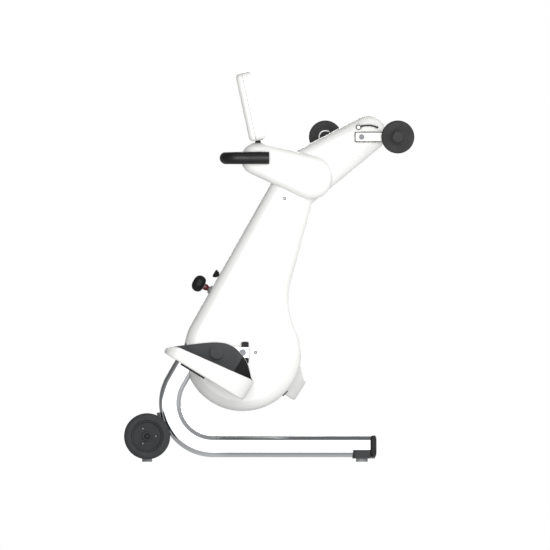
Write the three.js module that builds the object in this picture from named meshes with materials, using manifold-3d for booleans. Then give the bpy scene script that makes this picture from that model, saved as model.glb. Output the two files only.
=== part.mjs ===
// An active and passive trainer for legs and arms, standing on the floor.
// The user sits at +X and looks along -X. +Z is up, and -Y is the user's left.
// All lengths are in millimetres. Places are counted from the leg axle in X and
// from the floor in Z, and the whole group is then moved so that its origin
// lies on the floor under the middle of its length.
import * as THREE from 'three';
import { mergeVertices } from 'three/addons/utils/BufferGeometryUtils.js';
import Module from 'manifold-3d';

const wasm = await Module();
wasm.setup();

// Clearances
const restGap = 0.3;
const spigotGap = 0.6;
const runGap = 0.5;
const coverGap = 1.5;
const swingGap = 4;
const cutOverrun = 2;

// Fineness of round surfaces
const roundSides = 20;
const smallSides = 10;
const arcStepDegrees = 10;
const smallestStep = 0.01;
const bevelSteps = 3;

// Body housing: three circles joined by tangents
const legAxleHeight = 317;
const lobeRadius = 170;
const kneeReach = 191;
const kneeHeight = 821;
const kneeRadius = 88;
const tipForward = 173.5;
const tipRise = 131;
const tipRadius = 53;
const crookForward = 24;
const crookDrop = 78;
const crookRadius = 14;
const neckLeanDegrees = 15.3;
const hollowRadius = 210;
const bodyHalfWidth = 75;
const bodyRounding = 32;
const coverWall = 3;
const seamGap = 0.6;
const upperPillarBack = 69.2;
const upperPillarDrop = 57.4;
const lowerPillarReach = 37.7;
const pillarRadius = 4.4;
const pillarShort = 14;

// Head: a tapered case on both sides of the knee, with a pocket for the body
const noseBack = 148.8;
const noseRise = 57.7;
const noseRadius = 47;
const headHubForward = 5.5;
const headHubRise = 4;
const headHubRadius = 64;
const headSide = 20;
const headRounding = 14;
const headWall = 4;

// Handlebar, hung on both sides of the nose
const handlebarRadius = 12.5;
const handlebarFoam = 5.5;
const handlebarFront = 91;
const handlebarTail = 35;
const handlebarSideGap = 4;
const handlebarBend = 34;
const handlebarRise = 2.3;
const handlebarStubRadius = 9;
const handlebarStubBite = 14;
const barSides = 16;
const barBendSteps = 6;

// Display
const displayHingeForward = 3.5;
const displayHingeSink = 4.7;
const displayTiltDegrees = 12.2;
const displayHalfThickness = 23;
const displayHeight = 201;
const displayWidth = 300;
const displayCorner = 16;
const displayBackRounding = 10;
const displayFrontRounding = 3;
const displayPartOffset = -4;
const displayWall = 4;
const glassThickness = 1.6;
const glassMargin = 9;
const hingeTongueHalfWidth = 18;
const hingeBarrelRadius = 8;
const hingePinRadius = 4;
const cheekThickness = 8;
const displayLift = 3;
const neckFootRadius = 12;
const neckFootSideGap = 11;

// Leg drive
const legAxleRadius = 10;
const legTubeRadius = 30;
const legPulleyRadius = 70;
const pulleyWidth = 14;
const pulleyInset = 22;
const legMotorReach = 62;
const legMotorRise = 152;
const legMotorRadius = 42;
const legMotorEndGap = 21;
const motorPulleyRadius = 14;
const motorShaftRadius = 5;
const beltThickness = 3;
const beltWidth = 11;

// Leg cranks and foot shells
const legCrankRadius = 75;
const crankHeight = 30;
const crankThickness = 11;
const crankTail = 17.5;
const crankCorner = 3;
const clampHalfHeight = 31;
const clampWidth = 21;
const clampBack = 7;
const clampHubRadius = 14;
const clampGap = 3;
const clampDepth = 12;
const pedalPinRadius = 7;
const pedalPinStandOut = 1;
const pinCollarShare = 1.5;
const shellTiltDegrees = 31.3;
const shellSideGap = 6;
const shellWidth = 120;
const shellLength = 269;
const shellWall = 5;
const shellFloor = 8;
const shellPinAlong = 132;
const shellPinRise = 80;
const shellHeelRadius = 48;
const shellToeRadius = 40;
const shellToeHeight = 34.5;
const shellHeelHeight = 66;
const shellToeStep = 14;
const shellToeRun = 22;
const shellHeelTip = 5;
const shellHighWall = 121.5;
const sideWallShares = [
  [0.327, 0.716],
  [0.431, 0.885],
  [0.543, 0.992],
  [0.639, 1],
  [0.747, 0.934],
  [0.844, 0.811],
  [0.941, 0.635],
];
const highWallReach = 44;
const shellBossRadius = 16;
const shellBossDepth = 12;
const linerThickness = 3;
const soleplateStart = 60;
const soleplateEnd = 140;
const soleplateThickness = 5;
const soleplateSideMargin = 22;

// Arm drive, arm cranks and hand grips
const armAxleBack = 19.5;
const armAxleDrop = 10;
const armAxleRadius = 8;
const armTubeRadius = 23;
const armPulleyRadius = 30;
const armMotorBack = 106;
const armMotorDrop = 80;
const armMotorRadius = 34;
const armMotorEndGap = 27;
const armCrankRadius = 105;
const armCrankGap = 5;
const armCrankThickness = 10;
const armCrankTail = 20;
const armCrankHeight = 30;
const armCrankCorner = 4;
const armCoverThickness = 4;
const armCoverInset = 2.5;
const leverEarRise = 28;
const leverEarBack = 9;
const leverEarRadius = 8;
const leverThickness = 6;
const leverLength = 54;
const leverPinRadius = 3;
const leverBowDrop = 60;
const leverBlade = 5;
const leverGrip = 1;
const leverPinHead = 2;
const gripPinRadius = 7;
const gripDiscRadius = 48;
const gripDiscGap = 9;
const gripDiscThickness = 12;
const gripRadius = 17;
const gripLength = 112;
const gripPinInGrip = 60;
const gripDiscRounding = 3;
const gripWaistShare = 0.9;
const gripWaistPlaceShares = [0.25, 0.5, 0.75];

// Base rails
const railHeight = 63;
const railWidth = 34;
const railWall = 2.5;
const railCorner = 14;
const railCentreHeight = 45;
const railBendRadius = 126;
const railBendBack = 85;
const railPastUprightDegrees = 30;
const railTopLength = 146;
const railSideInset = 30;
const railSplayDegrees = 21;
const railSplayRadius = 150;
const railEndReach = 376.5;
const spigotLength = 36;

// End shoes under the rails
const shoeLength = 59;
const shoeSide = 4;
const shoeSideHeight = 21;
const shoeUnder = 4;
const endCapThickness = 6;
const shoePadRadius = 17;
const shoePadBack = 33;

// Transport wheels and their beam
const wheelReach = 277;
const wheelAxleHeight = 74;
const wheelRadius = 67;
const wheelWidth = 34;
const wheelInner = 172;
const wheelHubRadius = 14;
const wheelRimRadius = 46;
const wheelDish = 7;
const beamHalfHeight = 18;
const beamHalfDepth = 16;
const beamHalfLength = 164;
const wheelStubRadius = 8;
const saddleThickness = 9;
const saddleStartDegrees = 190;
const saddleEndDegrees = 217;
const saddleWidth = 30;
const wheelFootRadius = 14.5;
const wheelFootInset = 140;

// Small parts on the neck and lobe
const lockAlong = 112;
const lockStemRadius = 7;
const lockNeckRadius = 9.5;
const lockStemLength = 8;
const lockCapRadius = 25;
const lockCapThickness = 35;
const lockTravel = 8;
const clampKnobAlong = 160;
const clampKnobRadius = 13;
const clampKnobThickness = 13.5;
const clampKnobWaist = 8;
const clampKnobStem = 2.5;
const lockCapShares = [
  [0.45, 0],
  [0.8, 0.1],
  [0.97, 0.32],
  [1, 0.5],
  [0.93, 0.72],
  [0.7, 0.9],
  [0.4, 0.98],
  [0, 1],
];
const clampBrowShare = 0.8;
const smallStemShare = 0.7;
const stemBite = 24;
const bossRadius = 12;
const bossHeight = 6;
const inletWidth = 28;
const inletHeight = 20;
const inletDepth = 26;
const inletStandOut = 3;
const inletWall = 2.5;
const inletAngleDegrees = -44;

// Inner frame, power supply and controller
const plateHalfThickness = 6;
const plateInset = 16;
const plateChamfer = 1;
const yokeLength = 24;
const bossWall = 4;
const boardStandoff = 14;
const motorClearance = 4;
const supplyLength = 120;
const supplySideGap = 30;
const supplyHeight = 44;
const supplyDropShare = 0.7;
const boardLength = 110;
const boardDepth = 46;
const boardThickness = 8;
const boardGap = 10;
const boardReachShare = 0.385;
const boardPostShare = 1 / 3;

const radians = THREE.MathUtils.degToRad;
const legAxle = new THREE.Vector2(0, legAxleHeight);
const knee = new THREE.Vector2(kneeReach, kneeHeight);
const tip = new THREE.Vector2(knee.x + tipForward, knee.y + tipRise);
const crook = new THREE.Vector2(knee.x + crookForward, knee.y - crookDrop);
const nose = new THREE.Vector2(knee.x - noseBack, knee.y + noseRise);
const headHub = new THREE.Vector2(knee.x + headHubForward, knee.y + headHubRise);
const armAxle = new THREE.Vector2(tip.x - armAxleBack, tip.y - armAxleDrop);
const wheelAxle = new THREE.Vector2(-wheelReach, wheelAxleHeight);
const displayHinge = new THREE.Vector2(
  nose.x + displayHingeForward,
  nose.y + noseRadius - displayHingeSink,
);
const farRight = armAxle.x + armCrankRadius + gripDiscRadius;
const middleReach = (farRight - wheelReach - wheelRadius) / 2;

// Layers outward from the body's sides
const headHalfWidth = bodyHalfWidth + headSide;
const clampInner = bodyHalfWidth + clampGap;
const crankInner = clampInner + clampDepth;
const shellInner = crankInner + crankThickness + shellSideGap;
const pedalPinEnd = shellInner + shellWall + shellBossDepth + pedalPinStandOut;
const armCrankInner = bodyHalfWidth + armCrankGap;
const armCrankOuter = armCrankInner + armCrankThickness;
const gripDiscInner = armCrankOuter + gripDiscGap;
const railInset = bodyHalfWidth - railSideInset;
const pulleyPlane = bodyHalfWidth - pulleyInset;
const pulleyLow = pulleyPlane - pulleyWidth / 2;
const motorFace = pulleyLow - motorClearance;

// Finishes
function finish(color, roughness, metalness) {
  return new THREE.MeshStandardMaterial({ color, roughness, metalness });
}
const whiteAbs = finish(0xf2f2f0, 0.35, 0);
const chrome = finish(0xdadcde, 0.08, 1);
const polishedAluminium = finish(0xe4e6e8, 0.2, 1);
const blackRubber = finish(0x2b2b2c, 0.8, 0);
const greyRubber = finish(0x4a4a4b, 0.75, 0);
const blackPlastic = finish(0x1c1c1d, 0.5, 0);
const greyPlastic = finish(0x8b8f90, 0.5, 0);
const steel = finish(0x8c8f92, 0.4, 1);
const castAluminium = finish(0xa7aaad, 0.55, 1);
const glass = finish(0x14171a, 0.08, 0);
const redPlastic = finish(0x8c1220, 0.4, 0);
const greenBoard = finish(0x1f5a3c, 0.6, 0);

// Turning shapes into solids and back
function solid(geometry) {
  const bare = geometry.clone();
  bare.deleteAttribute('normal');
  bare.deleteAttribute('uv');
  const merged = mergeVertices(bare);
  const place = merged.attributes.position;
  const corner = (index) => new THREE.Vector3().fromBufferAttribute(place, index);
  let triangles = [];
  let volume = 0;
  for (let i = 0; i < merged.index.count; i += 3) {
    const [a, b, c] = merged.index.array.slice(i, i + 3);
    if (a !== b && b !== c && c !== a) {
      triangles.push([a, b, c]);
      volume += corner(a).dot(corner(b).cross(corner(c)));
    }
  }
  if (volume < 0) {
    triangles = triangles.map(([a, b, c]) => [a, c, b]);
  }
  return new wasm.Manifold(new wasm.Mesh({
    numProp: 3,
    vertProperties: place.array,
    triVerts: new Uint32Array(triangles.flat()),
  }));
}

function geometryOf(made) {
  const mesh = made.getMesh();
  const geometry = new THREE.BufferGeometry();
  geometry.setAttribute('position', new THREE.BufferAttribute(mesh.vertProperties, 3));
  geometry.setIndex(new THREE.BufferAttribute(mesh.triVerts, 1));
  return geometry;
}

const trainer = new THREE.Group();

function piece(name, made, material, parent = trainer) {
  const mesh = new THREE.Mesh(geometryOf(made.translate([-middleReach, 0, 0])), material);
  mesh.name = name;
  parent.add(mesh);
  return mesh;
}

// A point in the XZ plane at an angle around a centre
function around(centre, radius, angle) {
  return new THREE.Vector2(
    centre.x + radius * Math.cos(angle),
    centre.y + radius * Math.sin(angle),
  );
}

function arc(centre, radius, from, to) {
  const steps = Math.max(2, Math.ceil(Math.abs(to - from) / radians(arcStepDegrees)));
  const points = [];
  for (let i = 0; i <= steps; i += 1) {
    points.push(around(centre, radius, from + ((to - from) * i) / steps));
  }
  return points;
}

function angleOf(from, to) {
  return Math.atan2(to.y - from.y, to.x - from.x);
}

// The normal of the line that touches two circles on their left, seen from the first
function leftTangent(first, firstRadius, second, secondRadius) {
  const spread = Math.acos((firstRadius - secondRadius) / first.distanceTo(second));
  return angleOf(first, second) + spread;
}

// An outline without points that repeat
function shapeOf(points) {
  return new THREE.Shape(points.filter((point, i) => (
    point.distanceTo(points[(i + 1) % points.length]) > smallestStep
  )));
}

// Solids along Y from outlines in the XZ plane
function prism(points, yLow, yHigh) {
  const geometry = new THREE.ExtrudeGeometry(shapeOf(points), {
    depth: yHigh - yLow,
    bevelEnabled: false,
  });
  geometry.rotateX(Math.PI / 2);
  geometry.translate(0, yHigh, 0);
  return solid(geometry);
}

// A prism centred on Y = 0 whose long edges are rounded, drawn in by an inset
function pillow(points, halfWidth, rounding, inset, steps) {
  const geometry = new THREE.ExtrudeGeometry(shapeOf(points), {
    depth: 2 * (halfWidth - rounding),
    bevelEnabled: true,
    bevelThickness: rounding,
    bevelSize: rounding,
    bevelOffset: -rounding - inset,
    bevelSegments: steps,
  });
  geometry.rotateX(Math.PI / 2);
  geometry.translate(0, halfWidth - rounding, 0);
  return solid(geometry);
}

function rod(centre, radius, yLow, yHigh, sides = roundSides) {
  const geometry = new THREE.CylinderGeometry(radius, radius, yHigh - yLow, sides);
  geometry.translate(centre.x, (yLow + yHigh) / 2, centre.y);
  return solid(geometry);
}

function block(xLow, xHigh, yLow, yHigh, zLow, zHigh) {
  const geometry = new THREE.BoxGeometry(xHigh - xLow, yHigh - yLow, zHigh - zLow);
  geometry.translate((xLow + xHigh) / 2, (yLow + yHigh) / 2, (zLow + zHigh) / 2);
  return solid(geometry);
}

// A solid turned about an axis along Y, from radius and Y pairs that start and end on the axis
function turned(centre, profile, sides = roundSides) {
  const geometry = new THREE.LatheGeometry(
    profile.map(([radius, y]) => new THREE.Vector2(radius, y)),
    sides,
  );
  geometry.translate(centre.x, 0, centre.y);
  return solid(geometry);
}

// A rounded rectangle about the origin, each corner with its own radius
function roundedRectangle(width, height, corner, steps = bevelSteps) {
  const points = [];
  const corners = [[1, 1], [-1, 1], [-1, -1], [1, -1]];
  corners.forEach(([sideways, upwards], quarter) => {
    const centre = new THREE.Vector2(
      sideways * (width / 2 - corner),
      upwards * (height / 2 - corner),
    );
    for (let i = 0; i <= steps; i += 1) {
      points.push(around(centre, corner, (quarter + i / steps) * (Math.PI / 2)));
    }
  });
  return points;
}

// The hull of two circles, as an outline
function taper(first, firstRadius, second, secondRadius) {
  const heading = angleOf(first, second);
  const left = leftTangent(first, firstRadius, second, secondRadius);
  const right = 2 * heading - left;
  return [
    ...arc(second, secondRadius, right, left),
    ...arc(first, firstRadius, left, right + 2 * Math.PI),
  ];
}

// A solid swept along stations, each with a place, a sideways and an upward direction
function sweep(stations, outline) {
  const positions = [];
  const faces = [];
  const count = outline.length;
  stations.forEach(({ at, side, up }) => {
    outline.forEach((point) => {
      const place = at.clone().addScaledVector(side, point.x).addScaledVector(up, point.y);
      positions.push(place.x, place.y, place.z);
    });
  });
  for (let ring = 0; ring < stations.length - 1; ring += 1) {
    for (let j = 0; j < count; j += 1) {
      const next = (j + 1) % count;
      const a = ring * count + j;
      const b = ring * count + next;
      faces.push(a, b, b + count, a, b + count, a + count);
    }
  }
  const last = (stations.length - 1) * count;
  THREE.ShapeUtils.triangulateShape(outline, []).forEach(([a, b, c]) => {
    faces.push(c, b, a, last + a, last + b, last + c);
  });
  const geometry = new THREE.BufferGeometry();
  geometry.setAttribute('position', new THREE.Float32BufferAttribute(positions, 3));
  geometry.setIndex(faces);
  return solid(geometry);
}

// A solid turned by degrees about an axis along Y through a point
function swung(made, centre, degrees) {
  return made
    .translate([-centre.x, 0, -centre.y])
    .rotate([0, degrees, 0])
    .translate([centre.x, 0, centre.y]);
}

// Everything that comes in pairs is made for the right side, at +Y, and mirrored
function forSide(made, side) {
  return side > 0 ? made : made.mirror([0, 1, 0]);
}
const sides = [['left', -1], ['right', 1]];

// Outline of the body housing
const lobeToKnee = leftTangent(legAxle, lobeRadius, knee, kneeRadius);

function bodyOutline() {
  const armTop = leftTangent(knee, kneeRadius, tip, tipRadius);
  const armUnder = angleOf(crook, tip)
    - Math.acos(-(tipRadius + crookRadius) / crook.distanceTo(tip));
  const neckFace = -radians(neckLeanDegrees);
  const neckUp = around(new THREE.Vector2(), 1, neckFace + Math.PI / 2);
  const beside = around(crook, hollowRadius - crookRadius, neckFace);
  const fromAxle = beside.clone().sub(legAxle);
  const along = fromAxle.dot(neckUp);
  const reach = lobeRadius + hollowRadius;
  const slide = -along + Math.sqrt(along ** 2 - fromAxle.lengthSq() + reach ** 2);
  const hollow = beside.addScaledVector(neckUp, slide);
  const lobeEnd = angleOf(legAxle, hollow);
  return [
    ...arc(legAxle, lobeRadius, lobeToKnee, lobeEnd + 2 * Math.PI),
    ...arc(hollow, hollowRadius, lobeEnd + Math.PI, neckFace + Math.PI),
    ...arc(crook, crookRadius, neckFace + Math.PI, armUnder + Math.PI),
    ...arc(tip, tipRadius, armUnder, armTop),
    ...arc(knee, kneeRadius, armTop, lobeToKnee),
  ];
}
const bodyLine = bodyOutline();

// Base rails: down from the body, round the bend, out and along the floor
function railStations(overrun) {
  const bend = new THREE.Vector2(-railBendBack, railCentreHeight + railBendRadius);
  const upAngle = Math.PI - radians(railPastUprightDegrees);
  const stations = [];
  const inBend = (angle) => {
    const place = around(bend, railBendRadius, angle);
    const inward = around(new THREE.Vector2(), -1, angle);
    return {
      at: new THREE.Vector3(place.x, railInset, place.y),
      side: new THREE.Vector3(0, 1, 0),
      up: new THREE.Vector3(inward.x, 0, inward.y),
    };
  };
  const top = inBend(upAngle);
  const rising = new THREE.Vector3(Math.sin(upAngle), 0, -Math.cos(upAngle));
  top.at.addScaledVector(rising, railTopLength + overrun);
  stations.push(top);
  const bendSteps = Math.ceil((railPastUprightDegrees + 90) / arcStepDegrees);
  for (let i = 0; i <= bendSteps; i += 1) {
    stations.push(inBend(upAngle + ((1.5 * Math.PI - upAngle) * i) / bendSteps));
  }
  const splaySteps = Math.ceil(railSplayDegrees / arcStepDegrees);
  const splay = radians(railSplayDegrees);
  const floorLevel = (x, y, angle) => ({
    at: new THREE.Vector3(x, y, railCentreHeight),
    side: new THREE.Vector3(-Math.sin(angle), Math.cos(angle), 0),
    up: new THREE.Vector3(0, 0, 1),
  });
  for (let i = 1; i <= splaySteps; i += 1) {
    const angle = (splay * i) / splaySteps;
    stations.push(floorLevel(
      railSplayRadius * Math.sin(angle) - railBendBack,
      railInset + railSplayRadius * (1 - Math.cos(angle)),
      angle,
    ));
  }
  const bendEnd = stations[stations.length - 1].at;
  const run = (railEndReach - bendEnd.x) / Math.cos(splay) + overrun;
  stations.push(floorLevel(
    bendEnd.x + run * Math.cos(splay),
    bendEnd.y + run * Math.sin(splay),
    splay,
  ));
  return stations;
}

const railStationsHere = railStations(0);
const railTop = railStationsHere[0].at;
const railEnd = railStationsHere[railStationsHere.length - 1].at;
const boreCorner = railCorner - railWall;
const boreWidth = railWidth - 2 * railWall;
const boreHeight = railHeight - 2 * railWall;
const railOuter = sweep(railStationsHere, roundedRectangle(railWidth, railHeight, railCorner));
const railBore = sweep(
  railStations(cutOverrun),
  roundedRectangle(boreWidth, boreHeight, boreCorner),
);
const railSlot = sweep(
  railStations(cutOverrun),
  roundedRectangle(railWidth + 2 * coverGap, railHeight + 2 * coverGap, railCorner + coverGap),
);
const rail = railOuter.subtract(railBore);
sides.forEach(([name, side]) => piece(`base_rail_${name}`, forSide(rail, side), chrome));

// A solid drawn about the origin with its length along +Z, set on the rail's top end
function onRailTop(made) {
  return made
    .rotate([0, railPastUprightDegrees, 0])
    .translate([railTop.x, 0, railTop.z]);
}

// A solid drawn about the origin and pointing along +X, set on the rail's front end
function onRailEnd(made) {
  return made.rotate([0, 0, railSplayDegrees]).translate([railEnd.x, railEnd.y, 0]);
}

// An upright solid from an outline seen from above
function slab(points, zLow, zHigh) {
  const geometry = new THREE.ExtrudeGeometry(shapeOf(points), {
    depth: zHigh - zLow,
    bevelEnabled: false,
  });
  geometry.translate(0, 0, zLow);
  return solid(geometry);
}

function post(x, y, radius, zLow, zHigh, sidesAround = roundSides) {
  const geometry = new THREE.CylinderGeometry(radius, radius, zHigh - zLow, sidesAround);
  geometry.rotateX(Math.PI / 2);
  geometry.translate(x, y, (zLow + zHigh) / 2);
  return solid(geometry);
}

// A rail section pushed along X, for caps and shoes
function railSection(width, height, corner, xLow, xHigh) {
  const geometry = new THREE.ExtrudeGeometry(
    new THREE.Shape(roundedRectangle(width, height, corner)),
    { depth: xHigh - xLow, bevelEnabled: false },
  );
  geometry.rotateX(Math.PI / 2);
  geometry.rotateZ(Math.PI / 2);
  geometry.translate(xLow, 0, railCentreHeight);
  return solid(geometry);
}

// End cap with its plug, and the shoe below it
const railBase = railCentreHeight - railHeight / 2;
const plugLength = shoeLength / 2;
const endCap = railSection(railWidth, railHeight, railCorner, restGap, endCapThickness)
  .add(railSection(
    boreWidth - 2 * restGap,
    boreHeight - 2 * restGap,
    boreCorner - restGap,
    -plugLength,
    restGap + cutOverrun,
  ));
const shoeHalfWidth = railWidth / 2 + shoeSide;
const shoeFloor = railBase - shoeUnder;
const shoe = block(
  -shoeLength,
  0,
  -shoeHalfWidth,
  shoeHalfWidth,
  shoeFloor,
  railBase + shoeSideHeight,
).subtract(railSection(
  railWidth + 2 * restGap,
  railHeight + 2 * restGap,
  railCorner + restGap,
  -shoeLength - cutOverrun,
  cutOverrun,
)).intersect(slab(
  roundedRectangle(2 * shoeLength, 2 * shoeHalfWidth, railCorner),
  shoeFloor - cutOverrun,
  railHeight,
));
const shoePad = post(-shoePadBack, 0, shoePadRadius, 0, shoeFloor + shoeUnder / 2);
sides.forEach(([name, side]) => {
  piece(`end_cap_${name}`, forSide(onRailEnd(endCap), side), blackPlastic);
  piece(`end_shoe_${name}`, forSide(onRailEnd(shoe.add(shoePad)), side), blackRubber);
});

// Wheel beam with its saddles and stub axles, and one grey foot under each end
const bendCentre = new THREE.Vector2(-railBendBack, railCentreHeight + railBendRadius);
const saddleInner = railBendRadius + railHeight / 2 + 2 * restGap;
const saddleLine = [
  ...arc(bendCentre, saddleInner, radians(saddleEndDegrees), radians(saddleStartDegrees)),
  ...arc(
    bendCentre,
    saddleInner + saddleThickness,
    radians(saddleStartDegrees),
    radians(saddleEndDegrees),
  ),
];
const saddleMiddle = around(
  bendCentre,
  saddleInner + saddleThickness / 2,
  radians((saddleStartDegrees + saddleEndDegrees) / 2),
);
const saddleArm = taper(wheelAxle, beamHalfHeight, saddleMiddle, saddleThickness);
const roomForRail = prism(
  arc(bendCentre, saddleInner, 0, 2 * Math.PI - radians(arcStepDegrees)),
  -beamHalfLength - cutOverrun,
  beamHalfLength + cutOverrun,
);
const saddleLow = railInset - saddleWidth / 2;
const saddleHigh = railInset + saddleWidth / 2;
const halfSaddle = prism(saddleLine, saddleLow, saddleHigh)
  .add(prism(saddleArm, saddleLow, saddleHigh).subtract(roomForRail));
const wheelBeamLine = roundedRectangle(
  2 * beamHalfDepth,
  2 * beamHalfHeight,
  beamHalfDepth / 2,
).map((point) => point.add(wheelAxle));
const stubEnd = wheelInner + wheelWidth;
let wheelBeam = prism(wheelBeamLine, -beamHalfLength, beamHalfLength);
sides.forEach(([, side]) => {
  wheelBeam = wheelBeam
    .add(forSide(halfSaddle, side))
    .add(forSide(
      rod(wheelAxle, wheelStubRadius, beamHalfLength - cutOverrun, stubEnd - wheelDish),
      side,
    ));
});
piece('wheel_beam', wheelBeam, castAluminium);
const beamUnder = wheelAxleHeight - beamHalfHeight;
const wheelFoot = post(
  wheelAxle.x,
  wheelFootInset,
  wheelFootRadius,
  0,
  beamUnder - restGap,
);
const tyreCorner = wheelDish;
const tyre = turned(wheelAxle, [
  [wheelRimRadius, wheelInner],
  [wheelRadius - tyreCorner, wheelInner],
  [wheelRadius, wheelInner + tyreCorner],
  [wheelRadius, stubEnd - tyreCorner],
  [wheelRadius - tyreCorner, stubEnd],
  [wheelRimRadius, stubEnd],
  [wheelRimRadius, wheelInner],
]);
const hubOuter = wheelRimRadius - restGap;
const wheelHub = turned(wheelAxle, [
  [wheelStubRadius + runGap, wheelInner],
  [wheelHubRadius, wheelInner],
  [wheelHubRadius, wheelInner + wheelDish],
  [hubOuter, wheelInner + wheelDish],
  [hubOuter, stubEnd - wheelDish],
  [wheelHubRadius, stubEnd - wheelDish / 2],
  [wheelStubRadius + runGap, stubEnd - wheelDish / 2],
  [wheelStubRadius + runGap, wheelInner],
]);
sides.forEach(([name, side]) => {
  piece(`wheel_foot_${name}`, forSide(wheelFoot, side), greyRubber);
  piece(`wheel_tyre_${name}`, forSide(tyre, side), blackRubber);
  piece(`wheel_hub_${name}`, forSide(wheelHub, side), greyRubber);
});

// Leg crank train, turned about the leg axle
const legPins = {
  left: new THREE.Vector2(-legCrankRadius, legAxleHeight),
  right: new THREE.Vector2(legCrankRadius, legAxleHeight),
};
const crankEnd = crankHeight / 2;
const legCrankTail = roundedRectangle(2 * crankTail, crankHeight, crankCorner)
  .map((point) => point.add(legAxle));
const legCrank = prism(
  taper(legAxle, crankEnd, legPins.right, crankEnd),
  crankInner,
  crankInner + crankThickness,
)
  .add(prism(legCrankTail, crankInner, crankInner + crankThickness))
  .subtract(rod(
    legAxle,
    legAxleRadius + restGap,
    crankInner - cutOverrun,
    crankInner + crankThickness + cutOverrun,
  ))
  .subtract(rod(
    legPins.right,
    pedalPinRadius + restGap,
    crankInner - cutOverrun,
    crankInner + crankThickness + cutOverrun,
  ));
const clampMiddle = new THREE.Vector2(legAxle.x - clampBack, legAxle.y);
const clampLine = roundedRectangle(clampWidth, 2 * clampHalfHeight, crankCorner)
  .map((point) => point.add(clampMiddle));
const clampOuter = crankInner - restGap;
const legClamp = prism(clampLine, clampInner, clampOuter)
  .add(rod(legAxle, clampHubRadius, clampInner, clampOuter))
  .subtract(rod(
    legAxle,
    legAxleRadius + restGap,
    clampInner - cutOverrun,
    crankInner + cutOverrun,
  ));
const pinCollar = crankInner + crankThickness + runGap;
const pedalPin = turned(legPins.right, [
  [0, crankInner],
  [pedalPinRadius, crankInner],
  [pedalPinRadius, pinCollar],
  [pedalPinRadius * pinCollarShare, pinCollar],
  [pedalPinRadius * pinCollarShare, shellInner - runGap],
  [pedalPinRadius, shellInner - runGap],
  [pedalPinRadius, pedalPinEnd],
  [0, pedalPinEnd],
], smallSides);
const legAxleEnd = crankInner + crankThickness;
piece('leg_axle', rod(legAxle, legAxleRadius, -legAxleEnd, legAxleEnd), steel);
sides.forEach(([name, side]) => {
  const phase = side < 0 ? 180 : 0;
  const place = (made) => forSide(swung(made, legAxle, phase), side);
  piece(`leg_crank_${name}`, place(legCrank), polishedAluminium);
  piece(`leg_clamp_${name}`, place(legClamp), blackPlastic);
  piece(`pedal_pin_${name}`, place(pedalPin), steel);
});

// Foot shell, drawn with the toe end of its sole at the origin, then tilted on its pin
function shellLine(lowered, inset) {
  const heelIn = shellLength - inset;
  return [
    new THREE.Vector2(inset, -lowered),
    new THREE.Vector2(heelIn, -lowered),
    new THREE.Vector2(heelIn, shellHeelHeight),
    ...sideWallShares.map(([along, up]) => (
      new THREE.Vector2(along * shellLength, up * shellHighWall)
    )).reverse(),
    new THREE.Vector2(shellToeRun, shellToeHeight),
    new THREE.Vector2(inset, shellToeStep),
  ];
}
const shellMiddle = shellInner + shellWidth / 2;
function shellPlan(inset, zLow, zHigh) {
  const halfWide = shellWidth / 2 - inset;
  const corner = (sideways, alongWay, radius, from) => arc(
    new THREE.Vector2(
      alongWay > 0 ? shellLength - inset - radius : inset + radius,
      shellMiddle + sideways * (halfWide - radius),
    ),
    radius,
    radians(from),
    radians(from + 90),
  );
  return slab([
    ...corner(1, 1, shellHeelRadius - inset, 0),
    ...corner(1, -1, shellToeRadius - inset, 90),
    ...corner(-1, -1, shellToeRadius - inset, 180),
    ...corner(-1, 1, shellHeelRadius - inset, 270),
  ], zLow, zHigh);
}
const shellTop = shellPinRise + 2 * shellHeelRadius;
const lowRoof = prism([
  new THREE.Vector2(-cutOverrun, shellToeStep),
  new THREE.Vector2(shellToeRun, shellToeHeight),
  new THREE.Vector2(shellLength - shellHeelTip, shellHeelHeight),
  new THREE.Vector2(shellLength + cutOverrun, shellHeelHeight - shellHeelTip),
  new THREE.Vector2(shellLength + cutOverrun, shellTop),
  new THREE.Vector2(-cutOverrun, shellTop),
], shellInner + highWallReach, shellInner + shellWidth + cutOverrun);
const shellSide = prism(shellLine(0, 0), shellInner, shellInner + shellWidth);
const shellBoss = rod(
  new THREE.Vector2(shellPinAlong, shellPinRise),
  shellBossRadius,
  shellInner + shellWall / 2,
  shellInner + shellWall + shellBossDepth,
);
const shellPin = rod(
  new THREE.Vector2(shellPinAlong, shellPinRise),
  pedalPinRadius + runGap,
  shellInner - cutOverrun,
  pedalPinEnd + cutOverrun,
  smallSides,
);
const footShell = shellPlan(0, 0, shellTop)
  .intersect(shellSide)
  .subtract(lowRoof)
  .subtract(shellPlan(shellWall, shellFloor, shellTop + cutOverrun))
  .add(shellBoss)
  .subtract(shellPin);

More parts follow.
